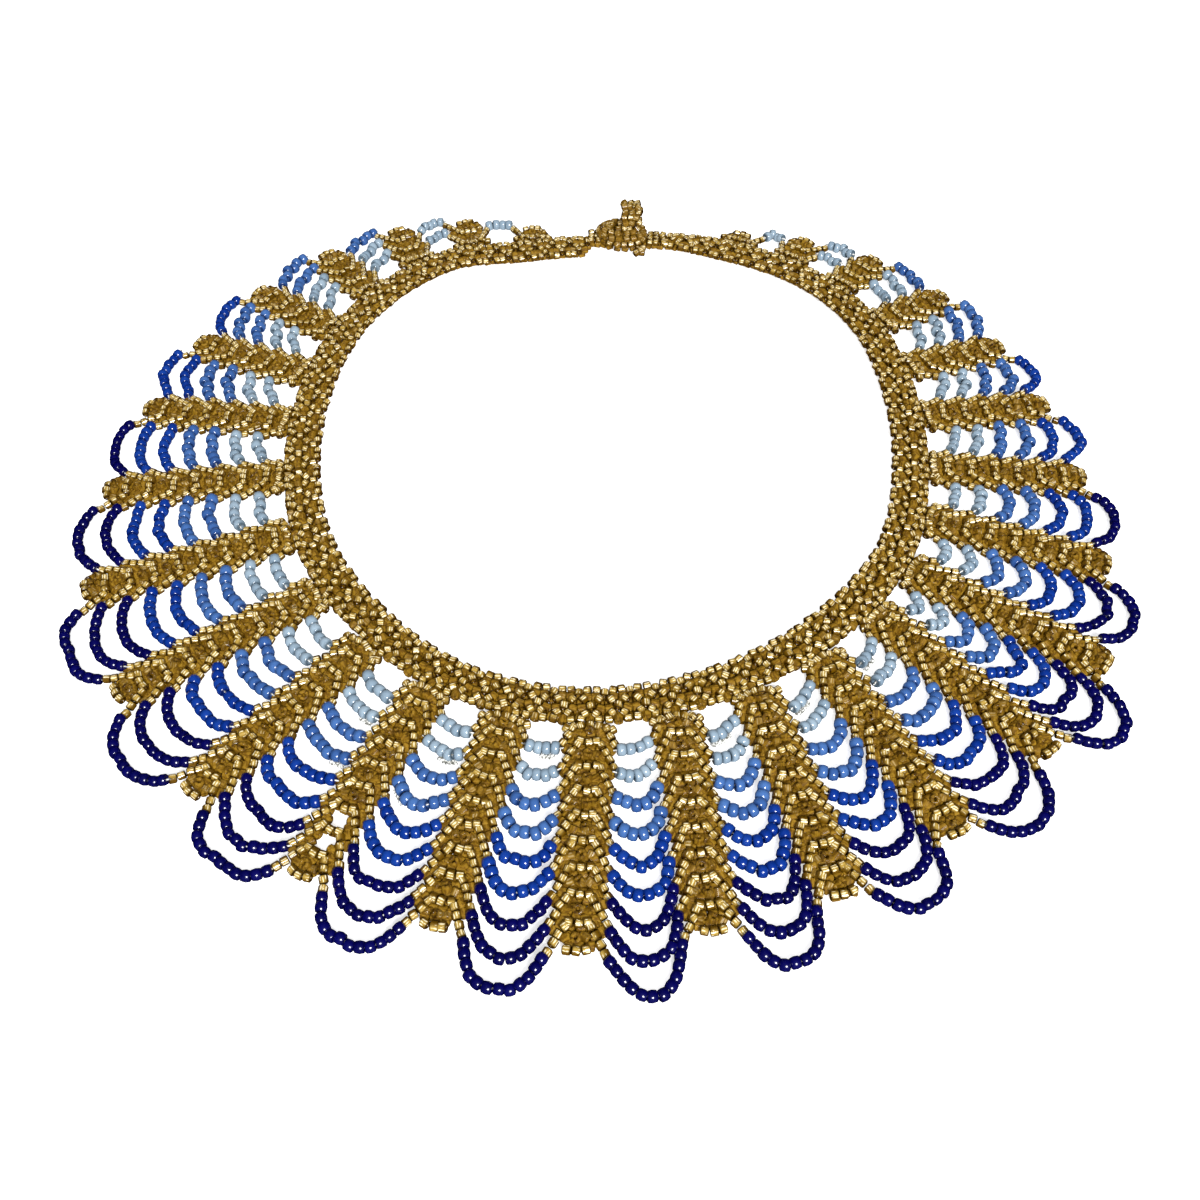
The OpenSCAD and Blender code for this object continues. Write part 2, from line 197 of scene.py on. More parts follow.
# where the first bar lies, how that changes on both sides, and on the left alone
FIRST, FIRST_BOTH, FIRST_LEFT = -1.2, [(-1, 35, 115), (0.7, 110, 180)], [(1.5, -215, -165)]
PITCHES = PITCH + LOOSER * np.abs(ROOTS) + swells(ROOTS, WIDER)
FIRSTS = FIRST + swells(np.abs(ROOTS), FIRST_BOTH) + swells(ROOTS, FIRST_LEFT)
BAYS = len(ROOTS) - 1
MOST_ROWS = 9


def bay_rows(bay):
    """Strings in a bay: one more for each bay from the nearer end up to the most, none outside."""
    return max(0, min(bay + 1, BAYS - bay, MOST_ROWS))


def rib_place(rib, across, out):
    """Places across to the right of a rib's axis and out from its root."""
    root, _ = neckline(ROOTS[rib], ROOT_OUT)
    aim = np.radians(AIMS[rib])
    return root + np.multiply.outer(across, along(aim)) + np.multiply.outer(out, square_to(aim))


def bar_out(rib, bar):
    """Distance of a rib's bar from its root; bars are counted from one."""
    return FIRSTS[rib] + (np.asarray(bar) - 1) * PITCHES[rib]


print("strings:", sum(bay_rows(b) for b in range(BAYS)))

# %% [markdown]
# ## Beads
# A seed bead is a slice of glass tube with melted edges. Its skin is a profile turned round an axis,
# and the last ring of the profile joins the first through the hole, so the skin is closed. The gold
# beads are short straight tubes: a crease at each end of the wall keeps the shading of the wall that
# of a cylinder, which draws a highlight out into a line along the hole. The blue ones are fat rings,
# wider than they are long, with a round wall.

# %% Bead skins
GOLD_SIDES, BLUE_SIDES = 8, 12
# height and radius of each ring of a skin, from the hole at one end to the hole at the other
GOLD_PROFILE = np.array([[-0.84, 0.42], [-1.0, 0.70], [-0.76, 0.98],
                         [0.76, 0.98], [1.0, 0.70], [0.84, 0.42]])
GOLD_CREASES = (2, 3)
BLUE_PROFILE = np.array([[-0.86, 0.30], [-1.0, 0.60], [-0.80, 0.90], [0.0, 1.02],
                         [0.80, 0.90], [1.0, 0.60], [0.86, 0.30]])


def turned_bead(profile, sides):
    """Points, quads and map of a bead of radius 1 and half length 1. A point is its profile's radius
    times the cosine and the sine of the angle, at its profile's height. The map has the angle
    as a part of the turn, and the height from 0 to 1."""
    turn = np.arange(sides) / sides * 2 * np.pi
    height, radius = profile[:, 0], profile[:, 1]
    points = np.stack([np.outer(radius, np.cos(turn)), np.outer(radius, np.sin(turn)),
                       np.outer(height, np.ones(sides))], -1).reshape(-1, 3)
    ring, side = np.meshgrid(np.arange(len(profile)), np.arange(sides), indexing="ij")
    step = np.array([[0, 0], [0, 1], [1, 1], [1, 0]])
    r, j = ring[..., None] + step[:, 0], side[..., None] + step[:, 1]
    quads = (r % len(profile)) * sides + j % sides
    uv = np.stack([j / sides, (height[r % len(profile)] + 1) / 2], -1)
    return points, quads.reshape(-1, 4), uv.reshape(-1, 2)


GOLD_BEAD = turned_bead(GOLD_PROFILE, GOLD_SIDES)
BLUE_BEAD = turned_bead(BLUE_PROFILE, BLUE_SIDES)
print("faces of a gold bead:", len(GOLD_BEAD[1]), "and of a blue one:", len(BLUE_BEAD[1]))

# %% [markdown]
# ## From a list of beads to a mesh
# A list of beads is an array with a row for each bead: its centre, the direction of its hole and its
# tone. The tone runs from 0, deep in the netting, to 1 on a strand that lies on top, and on the gold
# beads it sets how much painted highlight and painted end shade a bead gets. One step turns
# the whole list into points: the bead's own axes times the shape's points, plus its centre.

# %% Lists of beads
SEED = 11
rng = np.random.default_rng(SEED)
# beads stray less in height than along the table, and no two have quite the same tone
HEIGHT_SHARE, TONE_DRIFT = 0.6, 0.08


def unit(vectors):
    """Vectors divided by their lengths."""
    return vectors / np.linalg.norm(vectors, axis=-1, keepdims=True)


def bead_rows(centre, axis, tone):
    """A list of beads from their centres, hole directions and tones, which may be single values."""
    centre = np.atleast_2d(centre)
    count = len(centre)
    axis = np.broadcast_to(axis, (count, 3))
    tone = np.broadcast_to(np.reshape(tone, (-1, 1)) if np.ndim(tone) else tone, (count, 1))
    return np.hstack([centre, axis, tone])


def shaken(beads, shift, tilt):
    """The same beads, each moved and tilted a little at random, as thread lets them."""
    beads = beads.copy()
    beads[:, :3] += rng.normal(0, shift, (len(beads), 3)) * [1, 1, HEIGHT_SHARE]
    beads[:, 3:6] = unit(unit(beads[:, 3:6]) + rng.normal(0, tilt, (len(beads), 3)))
    beads[:, 6] += rng.normal(0, TONE_DRIFT, len(beads))
    return beads


print("random draws start from seed", SEED)

# %% A piece from points and faces
def new_piece(name, points, corners, sizes, material):
    """A smooth piece from points in millimetres, one run of corners for all its faces, and the number
    of corners of each face. A face starts where the sizes before it add up to."""
    mesh = bpy.data.meshes.new(name)
    mesh.vertices.add(len(points))
    mesh.vertices.foreach_set("co", (points * MM).astype(np.float32).ravel())
    mesh.loops.add(len(corners))
    mesh.loops.foreach_set("vertex_index", corners.astype(np.int32))
    mesh.polygons.add(len(sizes))
    mesh.polygons.foreach_set("loop_start", (np.cumsum(sizes) - sizes).astype(np.int32))
    mesh.update(calc_edges=True)
    mesh.polygons.foreach_set("use_smooth", np.full(len(sizes), True))
    mesh.materials.append(material)
    piece = bpy.data.objects.new(name, mesh)
    bpy.context.scene.collection.objects.link(piece)
    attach(piece, "root")
    return piece


print("a millimetre in the mesh is", MM)

# %% A piece from a list of beads
TO_LAMP = unit(np.array([0.1, -0.36, 0.93]))
print("the map of every bead starts towards", TO_LAMP.round(2))
# a hole that points this nearly to the lamp takes the x axis instead, and nothing sinks below the gap
TO_LAMP_LIMIT, TABLE_GAP = 0.95, 0.02
SPIN_DRIFT, SIZE_DRIFT = 0.25, 0.035


def bead_places(beads, points, radius, half_length):
    """Points of all the beads. Each is the centre, plus the bead's two cross directions times the
    shape's x and y times the radius, plus its hole direction times the shape's z times the half
    length. The first cross direction points as nearly to the lamp as the hole lets it, give or
    take a little, so the map, and the highlight painted on it, starts on the lit side of every bead."""
    centre, axis = beads[:, None, :3], unit(beads[:, 3:6])
    across = np.abs(axis @ TO_LAMP)[:, None] < TO_LAMP_LIMIT
    level = unit(np.cross(np.where(across, [TO_LAMP], [[1.0, 0, 0]]), axis))
    top = np.cross(axis, level)
    spin = rng.normal(0, SPIN_DRIFT, (len(beads), 1))
    first = top * np.cos(spin) + level * np.sin(spin)
    second = np.cross(axis, first)
    radius = np.reshape(radius, (-1, 1, 1)) * (1 + rng.normal(0, SIZE_DRIFT, (len(beads), 1, 1)))
    half_length = np.reshape(half_length, (-1, 1, 1))
    ring = points[:, 0, None] * first[:, None] + points[:, 1, None] * second[:, None]
    return (centre + radius * ring + half_length * points[:, 2, None] * axis[:, None]).reshape(-1, 3)


def bead_piece(name, beads, shape, radius, half_length, material, creases=(), sides=1):
    """A piece from a list of beads. Edges round the rings in creases are sharp. Every bead carries
    its map, its tone, and a pick from 0 to 1 at random."""
    points, quads, uv = shape
    count = len(beads)
    places = bead_places(beads, points, radius, half_length)
    lowest = places[:, 2].min()
    places[:, 2] = np.maximum(places[:, 2], TABLE_GAP)
    corners = (quads[None] + np.arange(count)[:, None, None] * len(points)).ravel()
    piece = new_piece(name, places, corners, np.full(corners.size // 4, 4), material)
    mesh = piece.data
    ends = np.empty(2 * len(mesh.edges), dtype=np.int32)
    mesh.edges.foreach_get("vertices", ends)
    ring = ends.reshape(-1, 2) % len(points) // sides
    sharp = (ring[:, 0] == ring[:, 1]) & np.isin(ring[:, 0], creases)
    mesh.attributes.new("sharp_edge", "BOOLEAN", "EDGE").data.foreach_set("value", sharp)
    bead_map = np.tile(uv, (count, 1)).astype(np.float32).ravel()
    mesh.uv_layers.new(name="bead").data.foreach_set("uv", bead_map)
    for label, values in (("tone", np.clip(beads[:, 6], 0, 1)), ("pick", rng.random(count))):
        mesh.attributes.new(label, "FLOAT", "POINT").data.foreach_set(
            "value", np.repeat(values, len(points)).astype(np.float32))
    print(name, count, "beads,", 2 * len(mesh.polygons), "triangles, lowest", round(lowest, 2), "mm")
    return piece


# %% [markdown]
# ## Glass
# All the beads share one effect: a wall of glass with painted shade towards its two ends, where it
# turns into the hole and its neighbours touch, with fine streaks drawn along it as the tube was pulled. It is
# a node group, and each
# glass gives it its own colours. The wall follows the bead's own map, so it sits right on every bead
# whichever way it lies. A few small helpers come first, each for one kind of node.

# %% Helpers for sums and mixtures, which give back an output
def plug(tree, value, socket):
    """Link an output to a socket, or set the socket to a plain number or colour."""
    if hasattr(value, "links"):
        tree.links.new(value, socket)
    else:
        socket.default_value = value


def maths(tree, operation, *values):
    """A sum on numbers and outputs."""
    node = tree.nodes.new("ShaderNodeMath")
    node.operation = operation
    for socket, value in zip(node.inputs, values):
        plug(tree, value, socket)
    return node.outputs[0]


def mixed(tree, factor, low, high):
    """From one colour to another as the factor goes from 0 to 1. The node keeps its two colours in
    inputs 6 and 7 and the mixed one in output 2."""
    node = tree.nodes.new("ShaderNodeMix")
    node.data_type = "RGBA"
    for socket, value in zip((node.inputs["Factor"], node.inputs[6], node.inputs[7]), (factor, low, high)):
        plug(tree, value, socket)
    return node.outputs[2]


def eased(tree, value, low, high, at_low=0.0, at_high=1.0, shape="LINEAR"):
    """From one number to another while the value goes from low to high."""
    node = tree.nodes.new("ShaderNodeMapRange")
    node.interpolation_type = shape
    for name, number in (("From Min", low), ("From Max", high), ("To Min", at_low), ("To Max", at_high)):
        node.inputs[name].default_value = number
    plug(tree, value, node.inputs["Value"])
    return node.outputs[0]


# %% Helpers for what the beads carry, for colours and for relief
def attribute(tree, name):
    """A value that each bead carries."""
    node = tree.nodes.new("ShaderNodeAttribute")
    node.attribute_name = name
    return node.outputs["Fac"]


def colour_ramp(tree, value, stops):
    """A ramp of colours along a value from 0 to 1."""
    node = tree.nodes.new("ShaderNodeValToRGB")
    while len(node.color_ramp.elements) < len(stops):
        node.color_ramp.elements.new(0.5)
    for element, (position, colour) in zip(node.color_ramp.elements, stops):
        element.position = position
        element.color = (*colour, 1)
    plug(tree, value, node.inputs[0])
    return node.outputs[0]


def relief(tree, shader, height, strength, distance):
    """Bumps on a shader's surface, of a strength and a depth in metres."""
    node = tree.nodes.new("ShaderNodeBump")
    node.inputs["Strength"].default_value = strength
    node.inputs["Distance"].default_value = distance
    plug(tree, height, node.inputs["Height"])
    tree.links.new(node.outputs[0], shader.inputs["Normal"])


# %% Measures of the wall's effects
WALL_SOCKETS = [("Light", "INPUT", "Color"), ("Deep", "INPUT", "Color"), ("Ends", "INPUT", "Float"),
                ("Streaks", "INPUT", "Float"), ("Fineness", "INPUT", "Float"),
                ("Color", "OUTPUT", "Color"), ("Glint", "OUTPUT", "Float"),
                ("Facing", "OUTPUT", "Float"), ("Height", "OUTPUT", "Float")]
# the wall keeps its colour until near its ends, where painted shade falls: the power of the distance from its
# middle
ENDS_POWER = 4.0
# streaks: how closely they follow each other along the hole, and a jump in the noise for each bead
STREAK_STEP, STREAK_JUMP, STREAK_DETAIL = 1.6, 40.0, 2.0
# painted glint lines on the top, towards the lamp: radians of their wave in a turn, sharpness, reach from the
# top, wander of the top
LINE_WAVE, LINE_POWER, LINE_REACH, LINE_WANDER = 66.0, 1.2, 0.15, 0.09
# the noise breaks the lines, they fade towards the ends, and what is left is cut off steeply
BREAK_GAIN, BREAK_SHIFT, FADE_POWER, FADE_SHARE, CUT_LOW, CUT_HIGH = 6.5, -2.6, 2.5, 1.5, 0.22, 0.6
# sharpness of the painted sheen along the top, towards the lamp
SHEEN_POWER = 5.0
# painted glint lines that lie over the top of a bead
print("lines of silver over the top:", 1 + 2 * int(LINE_REACH * LINE_WAVE / (2 * np.pi)))

# %% Node group for a bead's wall
def make_bead_wall():
    """Node group: effects from a bead's map. The shade is one less the ends, which are the distance
    from the middle to a power: painted shade where the wall turns into the hole and neighbours touch.
    Color goes from deep to light by the shade plus the streaks, which are noise that is long along
    the hole. Glint is a painted highlight: a wave round the turn near the top, which faces the lamp,
    times the noise and a fade to the ends. The sheen output, a painted highlight too, is the cosine
    of the turn from the top to a power, times the shade. Height is the noise."""
    tree = bpy.data.node_groups.new("bead_wall", "ShaderNodeTree")
    for name, way, kind in WALL_SOCKETS:
        tree.interface.new_socket(name, in_out=way, socket_type="NodeSocket" + kind)
    inside, outside = tree.nodes.new("NodeGroupInput"), tree.nodes.new("NodeGroupOutput")

    def calc(operation, *values):
        return maths(tree, operation, *values)

    bead_map = tree.nodes.new("ShaderNodeUVMap")
    bead_map.uv_map = "bead"
    split = tree.nodes.new("ShaderNodeSeparateXYZ")
    tree.links.new(bead_map.outputs[0], split.inputs[0])
    turn, height = split.outputs[0], split.outputs[1]
    pick = attribute(tree, "pick")

    place = tree.nodes.new("ShaderNodeCombineXYZ")
    tree.links.new(calc("MULTIPLY", turn, inside.outputs["Fineness"]), place.inputs[0])
    tree.links.new(calc("MULTIPLY", height, STREAK_STEP), place.inputs[1])
    tree.links.new(calc("MULTIPLY", pick, STREAK_JUMP), place.inputs[2])
    noise_node = tree.nodes.new("ShaderNodeTexNoise")
    noise_node.inputs["Scale"].default_value = 1.0
    noise_node.inputs["Detail"].default_value = STREAK_DETAIL
    tree.links.new(place.outputs[0], noise_node.inputs["Vector"])
    noise = noise_node.outputs["Fac"]

    # painted shade towards both ends of the wall
    off_middle = calc("ABSOLUTE", calc("MULTIPLY_ADD", height, 2.0, -1.0))
    ends = calc("MULTIPLY", calc("POWER", off_middle, ENDS_POWER), inside.outputs["Ends"])
    shade = calc("SUBTRACT", 1.0, ends)
    streak = calc("MULTIPLY", calc("SUBTRACT", noise, 0.5), 2.0)
    mask = calc("ADD", shade, calc("MULTIPLY", streak, inside.outputs["Streaks"]))
    colour = mixed(tree, mask, inside.outputs["Deep"], inside.outputs["Light"])

    # painted highlight on the top of the map, which faces the lamp: glint lines and a sheen
    wander = calc("MULTIPLY_ADD", pick, LINE_WANDER, -LINE_WANDER / 2)
    from_top = calc("PINGPONG", calc("ADD", turn, wander), 0.5)
    line = calc("COSINE", calc("MULTIPLY", from_top, LINE_WAVE))
    line = calc("POWER", calc("MULTIPLY_ADD", line, 0.5, 0.5), LINE_POWER)
    seen = calc("LESS_THAN", from_top, LINE_REACH)
    broken = calc("MULTIPLY_ADD", noise, BREAK_GAIN, BREAK_SHIFT)
    fade = calc("SUBTRACT", 1.0, calc("MULTIPLY", calc("POWER", off_middle, FADE_POWER), FADE_SHARE))
    glint = calc("MULTIPLY", calc("MULTIPLY", line, seen), calc("MULTIPLY", broken, fade))
    glint = eased(tree, glint, CUT_LOW, CUT_HIGH, shape="SMOOTHSTEP")
    top = calc("MAXIMUM", calc("COSINE", calc("MULTIPLY", from_top, 2 * np.pi)), 0.0)
    painted_top_sheen = calc("MULTIPLY", calc("POWER", top, SHEEN_POWER), shade)
    for name, value in (("Color", colour), ("Glint", glint), ("Facing", painted_top_sheen), ("Height", noise)):
        tree.links.new(value, outside.inputs[name])
    return tree


bead_wall = make_bead_wall()
print("bead wall nodes:", len(bead_wall.nodes))

# %% [markdown]
# Blue glass is opaque, with a clear skin: a soft body colour that scatters light, under a coat that
# gives one small sharp highlight. No two beads in a packet match, so the body colour drifts between
# two neighbours by each bead's own pick.

# %% Blue glass
BEAD_RELIEF = 0.1 * MM


def glass(name, driver, stops, deep, ends, streaks, fineness, bump, **sockets):
    """A bead material: the wall group from a deep colour to a light one, which is a ramp of stops
    along the bead's tone or pick, whichever is the driver."""
    material = bpy.data.materials.new(name)
    material.use_nodes = True
    tree = material.node_tree
    shader = tree.nodes["Principled BSDF"]
    for socket, value in sockets.items():
        shader.inputs[socket.replace("_", " ")].default_value = value
    wall = tree.nodes.new("ShaderNodeGroup")
    wall.node_tree = bead_wall
    for socket, value in (("Deep", (*deep, 1)), ("Ends", ends), ("Streaks", streaks), ("Fineness", fineness)):
        wall.inputs[socket].default_value = value
    tree.links.new(colour_ramp(tree, attribute(tree, driver), stops), wall.inputs["Light"])
    tree.links.new(wall.outputs["Color"], shader.inputs["Base Color"])
    relief(tree, shader, wall.outputs["Height"], bump, BEAD_RELIEF)
    return material


CLEAR_SKIN = dict(Specular_IOR_Level=0.1, Coat_Weight=1.0, Coat_Roughness=0.07, Coat_IOR=1.55)
BLUE_FINENESS = 7.0
# darkest and lightest body colour, deep colour, strength of the painted shade at the ends, streaks, relief,
# roughness
BLUES = {
    "pale_blue": ((0.20, 0.275, 0.35), (0.28, 0.365, 0.44), (0.03, 0.055, 0.08), 0.9, 0.3, 0.15, 0.35),
    "sky_blue": ((0.030, 0.085, 0.26), (0.055, 0.135, 0.35), (0.001, 0.010, 0.07), 0.9, 0.3, 0.12, 0.38),
    "royal_blue": ((0.001, 0.021, 0.19), (0.005, 0.038, 0.25), (0.0, 0.001, 0.04), 0.8, 0.3, 0.1, 0.38),
    "navy": ((0.0002, 0.0002, 0.048), (0.0006, 0.0006, 0.07), (0.0, 0.0, 0.018), 0.5, 0.2, 0.08, 0.42),
}
BLUE_GLASS = {
    colour: glass(colour + "_glass", "pick", [(0.0, dark), (1.0, light)], deep, ends, streaks,
                  BLUE_FINENESS, bump, Roughness=rough, **CLEAR_SKIN)
    for colour, (dark, light, deep, ends, streaks, bump, rough) in BLUES.items()}
print("blues:", ", ".join(BLUE_GLASS))

# %% [markdown]
# The gold beads are amber glass with a silvered hole. A bead on top gets a painted highlight on its
# top, towards the lamp: cream glints on a honey line, with brown on both sides. One deep in the netting
# shows little but amber, mottled with ochre. Every bead gets painted shade at its ends. The tone that
# every bead carries picks its place on that scale.

# %% Gold glass
# amber body along the tone, darker on top beads beside their painted highlight; brown: streaks and painted
# end shade
AMBER = [(0.0, (0.150, 0.072, 0.002)), (0.5, (0.135, 0.066, 0.002)), (1.0, (0.100, 0.048, 0.001))]
BROWN = (0.020, 0.007, 0.0)
# ochre mottles the deep beads; the other two are the colours of the painted sheen and glints
OCHRE, SHEEN_HONEY, GLINT_CREAM = (0.29, 0.165, 0.012, 1), (0.50, 0.335, 0.07, 1), (1.0, 0.88, 0.56, 1)
# from a low tone to a high one, a mask or a socket goes from the first number to the second; the
# sheen and glint masks are painted highlight, and Ends is the strength of the painted end shade
BY_TONE = {"mottle": (0.15, 0.6, 0.8, 0.0), "painted_sheen_mask": (0.3, 0.9, 0.0, 0.75), "painted_glint_mask": (0.35, 0.8, 0.0, 1.0),
           "Ends": (0.2, 0.8, 0.3, 1.3), "Coat Weight": (0.3, 0.8, 0.05, 0.7),
           "Roughness": (0.3, 0.8, 0.6, 0.3)}
MOTTLE_LOW, MOTTLE_HIGH = 0.44, 0.60
# how metallic the skin is under the painted glints
GLINT_METAL = 0.3
gold_glass = glass("gold_glass", "tone", AMBER, BROWN, ends=1.1, streaks=0.9, fineness=13.0, bump=0.3,
                   Coat_Roughness=0.05, Coat_IOR=1.5, Specular_IOR_Level=0.15)


def paint_light_and_mottle(material):
    """What is painted over the wall: ochre mottle where the noise is high and the tone low, then a
    painted highlight, a warm gold line along the top towards the lamp and pale glints on it where the
    tone is high, and painted shade at the ends that grows with the tone. Beads deep in the netting have
    a duller skin as well, since little light finds them."""
    tree = material.node_tree
    shader = tree.nodes["Principled BSDF"]
    wall = next(n for n in tree.nodes if n.type == "GROUP")
    tone = attribute(tree, "tone")

    def by_tone(name):
        return eased(tree, tone, *BY_TONE[name])

    mottle = maths(tree, "MULTIPLY", eased(tree, wall.outputs["Height"], MOTTLE_LOW, MOTTLE_HIGH),
                   by_tone("mottle"))
    painted_sheen_mask = maths(tree, "MULTIPLY", wall.outputs["Facing"], by_tone("painted_sheen_mask"))
    painted_glint_mask = maths(tree, "MULTIPLY", wall.outputs["Glint"], by_tone("painted_glint_mask"))
    colour = wall.outputs["Color"]
    for factor, light in ((mottle, OCHRE), (painted_sheen_mask, SHEEN_HONEY), (painted_glint_mask, GLINT_CREAM)):
        colour = mixed(tree, factor, colour, light)
    tree.links.new(colour, shader.inputs["Base Color"])
    tree.links.new(eased(tree, painted_glint_mask, 0.0, 1.0, 0.0, GLINT_METAL), shader.inputs["Metallic"])
    tree.links.new(by_tone("Ends"), wall.inputs["Ends"])
    for socket in ("Coat Weight", "Roughness"):
        tree.links.new(by_tone(socket), shader.inputs[socket])


paint_light_and_mottle(gold_glass)
print("gold glass nodes:", len(gold_glass.node_tree.nodes))

# %% [markdown]
# ## The blue strings
# A string of beads that is longer than its span hangs in a curve. Held up by beads that press on
# each other, it is rounder than a chain's: steep at its ends and nearly flat in the middle. Its beads
# sit at even steps along the curve, and thread lets each sit a little off it, which gives the strings
# their knobbly look. The inner strings of the bays at the sides lie more crumpled. Each row is one
# piece.

# %% Curve of a string
# points of a curve, and how many sags are tried, up to the deepest as a part of the span
CURVE_POINTS, SAG_STEPS, DEEPEST_SAG = 161, 40, 0.6
# how far a string leans to one side, as a part of its span, and how far it sways off its curve
LOPSIDED, WAVE, RIPPLE = 0.03, 0.14, 0.1


def string_curve(start, end, length, flat):
    """Points of a string and its run along them. Out from the chord it goes by its sag times one less
    the distance from the middle to the power flat. The sag is read from a table of the lengths
    that a range of sags would give."""
    t = np.linspace(0, 1, CURVE_POINTS)
    chord = end - start
    span = np.linalg.norm(chord)
    outwards = square_to(np.arctan2(chord[1], chord[0]))
    skew = t + rng.normal(0, LOPSIDED) * np.sin(2 * np.pi * t)
    bow = 1 - np.abs(2 * skew - 1) ** flat
    sags = np.linspace(0, DEEPEST_SAG, SAG_STEPS) * span
    lengths = np.hypot(np.diff(t) * span, sags[:, None] * np.diff(bow)).sum(1)
    wave = rng.normal(0, WAVE) * np.sin(2 * np.pi * t) + rng.normal(0, RIPPLE) * np.sin(3 * np.pi * t)
    curve = start + np.outer(t, chord) + np.outer(np.interp(length, lengths, sags) * bow + wave, outwards)
    run = np.concatenate([[0], np.cumsum(np.linalg.norm(np.diff(curve, axis=0), axis=1))])
    return curve, run, outwards


print("deepest sag of a string:", DEEPEST_SAG, "of its span")

# %% Beads of the strings
# row n has n and this many beads; spare length of a string for each row, as a part of its span
MORE_BEADS, SLACK = 3, 0.009
# where a string hangs: out from the bar, beside the axis, and above the table
HANG, BESIDE, LIFT = 1.45, 5.7, 0.1
# how much the rows up to the last crumpled one kink, from where along the neckline, and eased in over
SIDE_KINK, KINK_FROM, KINK_EASE, KINK_ROWS = 0.34, 80, 50, 4
# how far beads sit off the curve and above it, and how far the ends rise
OFF_CURVE, OFF_TABLE, END_RISE = 0.08, 0.2, 0.35
# half a bead's length, as a part of the step between beads, and its most
HALF_STEP, LONGEST_HALF = 0.52, 1.15
MIDDLE_TONE = 0.5
# how far every bead strays, and by how much of its direction it tilts
STRING_SHAKE, STRING_TILT = 0.03, 0.08
strings = {}


def string_beads(row, radius, pitch, flat, kink, inset):
    """Beads of all the strings in a row, and their half lengths. A string runs from beside the foot of
    one rib's arch to the next rib's. Every second bead is kinked to the other side of the curve."""
    beads, halves = [], []
    count = row + MORE_BEADS
    for bay in [b for b in range(BAYS) if bay_rows(b) >= row]:
        start = rib_place(bay, BESIDE + inset, bar_out(bay, row + 1) + HANG)
        end = rib_place(bay + 1, -BESIDE - inset, bar_out(bay + 1, row + 1) + HANG)
        length = max((count - 1) * pitch, np.linalg.norm(end - start) * (1 + SLACK * row))
        curve, run, outwards = string_curve(start, end, length, flat)
        at = np.linspace(0, run[-1], count)
        place = np.stack([np.interp(at, run, curve[:, i]) for i in range(2)], -1)
        middle = np.sin(np.pi * np.linspace(0, 1, count))
        crumple = SIDE_KINK * np.clip((abs(ROOTS[bay]) - KINK_FROM) / KINK_EASE, 0, 1) * (row <= KINK_ROWS)
        off = rng.normal(0, OFF_CURVE, count)
        off += (kink + crumple) * rng.choice([-1, 1]) * (-1) ** np.arange(count)
        place += np.outer(off * middle, outwards)
        height = LIFT + radius + np.abs(rng.normal(0, OFF_TABLE, count)) + END_RISE * (1 - middle)
        centre = np.column_stack([place, height])
        beads.append(bead_rows(centre, np.gradient(centre, axis=0), MIDDLE_TONE))
        halves.append(np.full(count, min(HALF_STEP * run[-1] / (count - 1), LONGEST_HALF)))
        strings[bay, row] = centre
    return np.concatenate(beads), np.concatenate(halves)


# colour, radius of a bead, pitch, flatness of the curve, kink, inset of the ends, number of rows
ROWS = [("pale_blue", 1.26, 1.64, 2.3, 0.06, 0.6, 2), ("sky_blue", 1.32, 1.88, 2.3, 0.10, 0.15, 2),
        ("royal_blue", 1.23, 1.88, 2.4, 0.10, 0.1, 2), ("navy", 1.12, 1.88, 2.6, 0.08, 0.1, 3)]
row = 0
for colour, radius, pitch, flat, kink, inset, rows in ROWS:
    for _ in range(rows):
        row += 1
        beads, halves = string_beads(row, radius, pitch, flat, kink, inset)
        beads = shaken(beads, STRING_SHAKE, STRING_TILT)
        piece = bead_piece(f"string_row_{row}", beads, BLUE_BEAD, radius, halves, BLUE_GLASS[colour])
        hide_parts(f"loops_row_{row}")

# %% [markdown]
# ## Thread
# A white thread runs through every string, hidden by the beads but for its ends. Here and there near
# the throat a length of it was left over and lies beside a string, and there its two plies show: each
# ply is a thin tube that winds round the thread's middle line.

# %% Tubes along a route
# how far a ply winds off the middle line, and the length of one turn
PLY_OFFSET, TWIST = 0.30, 1.3


def cross_directions(route):
    """The level and the upright direction across a route at each of its points."""
    way = unit(np.gradient(route, axis=0))
    level = unit(np.cross(way, [0, 0, 1.0]))
    return level, np.cross(level, way)


def tube(route, radius, sides):
    """Points, quads and the two end faces of a tube: round each point of the route stands a ring, of
    the level direction times the cosine plus the upright one times the sine."""
    level, upright = cross_directions(route)
    angle = np.arange(sides) / sides * 2 * np.pi
    ring = np.cos(angle)[:, None] * level[:, None] + np.sin(angle)[:, None] * upright[:, None]
    points = (route[:, None] + radius * ring).reshape(-1, 3)
    i, j = np.meshgrid(np.arange(len(route) - 1), np.arange(sides), indexing="ij")
    k = (j + 1) % sides
    quads = np.stack([i * sides + j, i * sides + k, (i + 1) * sides + k, (i + 1) * sides + j], -1)
    ends = np.stack([np.arange(sides)[::-1], (len(route) - 1) * sides + np.arange(sides)])
    return points, quads.reshape(-1, 4), ends


def two_plies(middle):
    """Routes of the two plies that wind round a middle line: the offset times the cosine and the sine
    of an angle that grows by a turn for each twist, with the second ply half a turn on."""
    level, upright = cross_directions(middle)
    run = np.concatenate([[0], np.cumsum(np.linalg.norm(np.diff(middle, axis=0), axis=1))])
    turn = 2 * np.pi * run[:, None] / TWIST
    return [middle + PLY_OFFSET * (np.cos(turn + half) * level + np.sin(turn + half) * upright)
            for half in (0, np.pi)]


print("turns of the plies in a centimetre:", round(10 / TWIST, 1))

# %% Tubes of the thread
# thread in a string: its radius, its sides and how far it reaches past the last bead; then a ply's
THREAD_RADIUS, THREAD_SIDES, THREAD_REACH = 0.16, 6, 1.6
PLY_RADIUS, PLY_SIDES = 0.25, 8
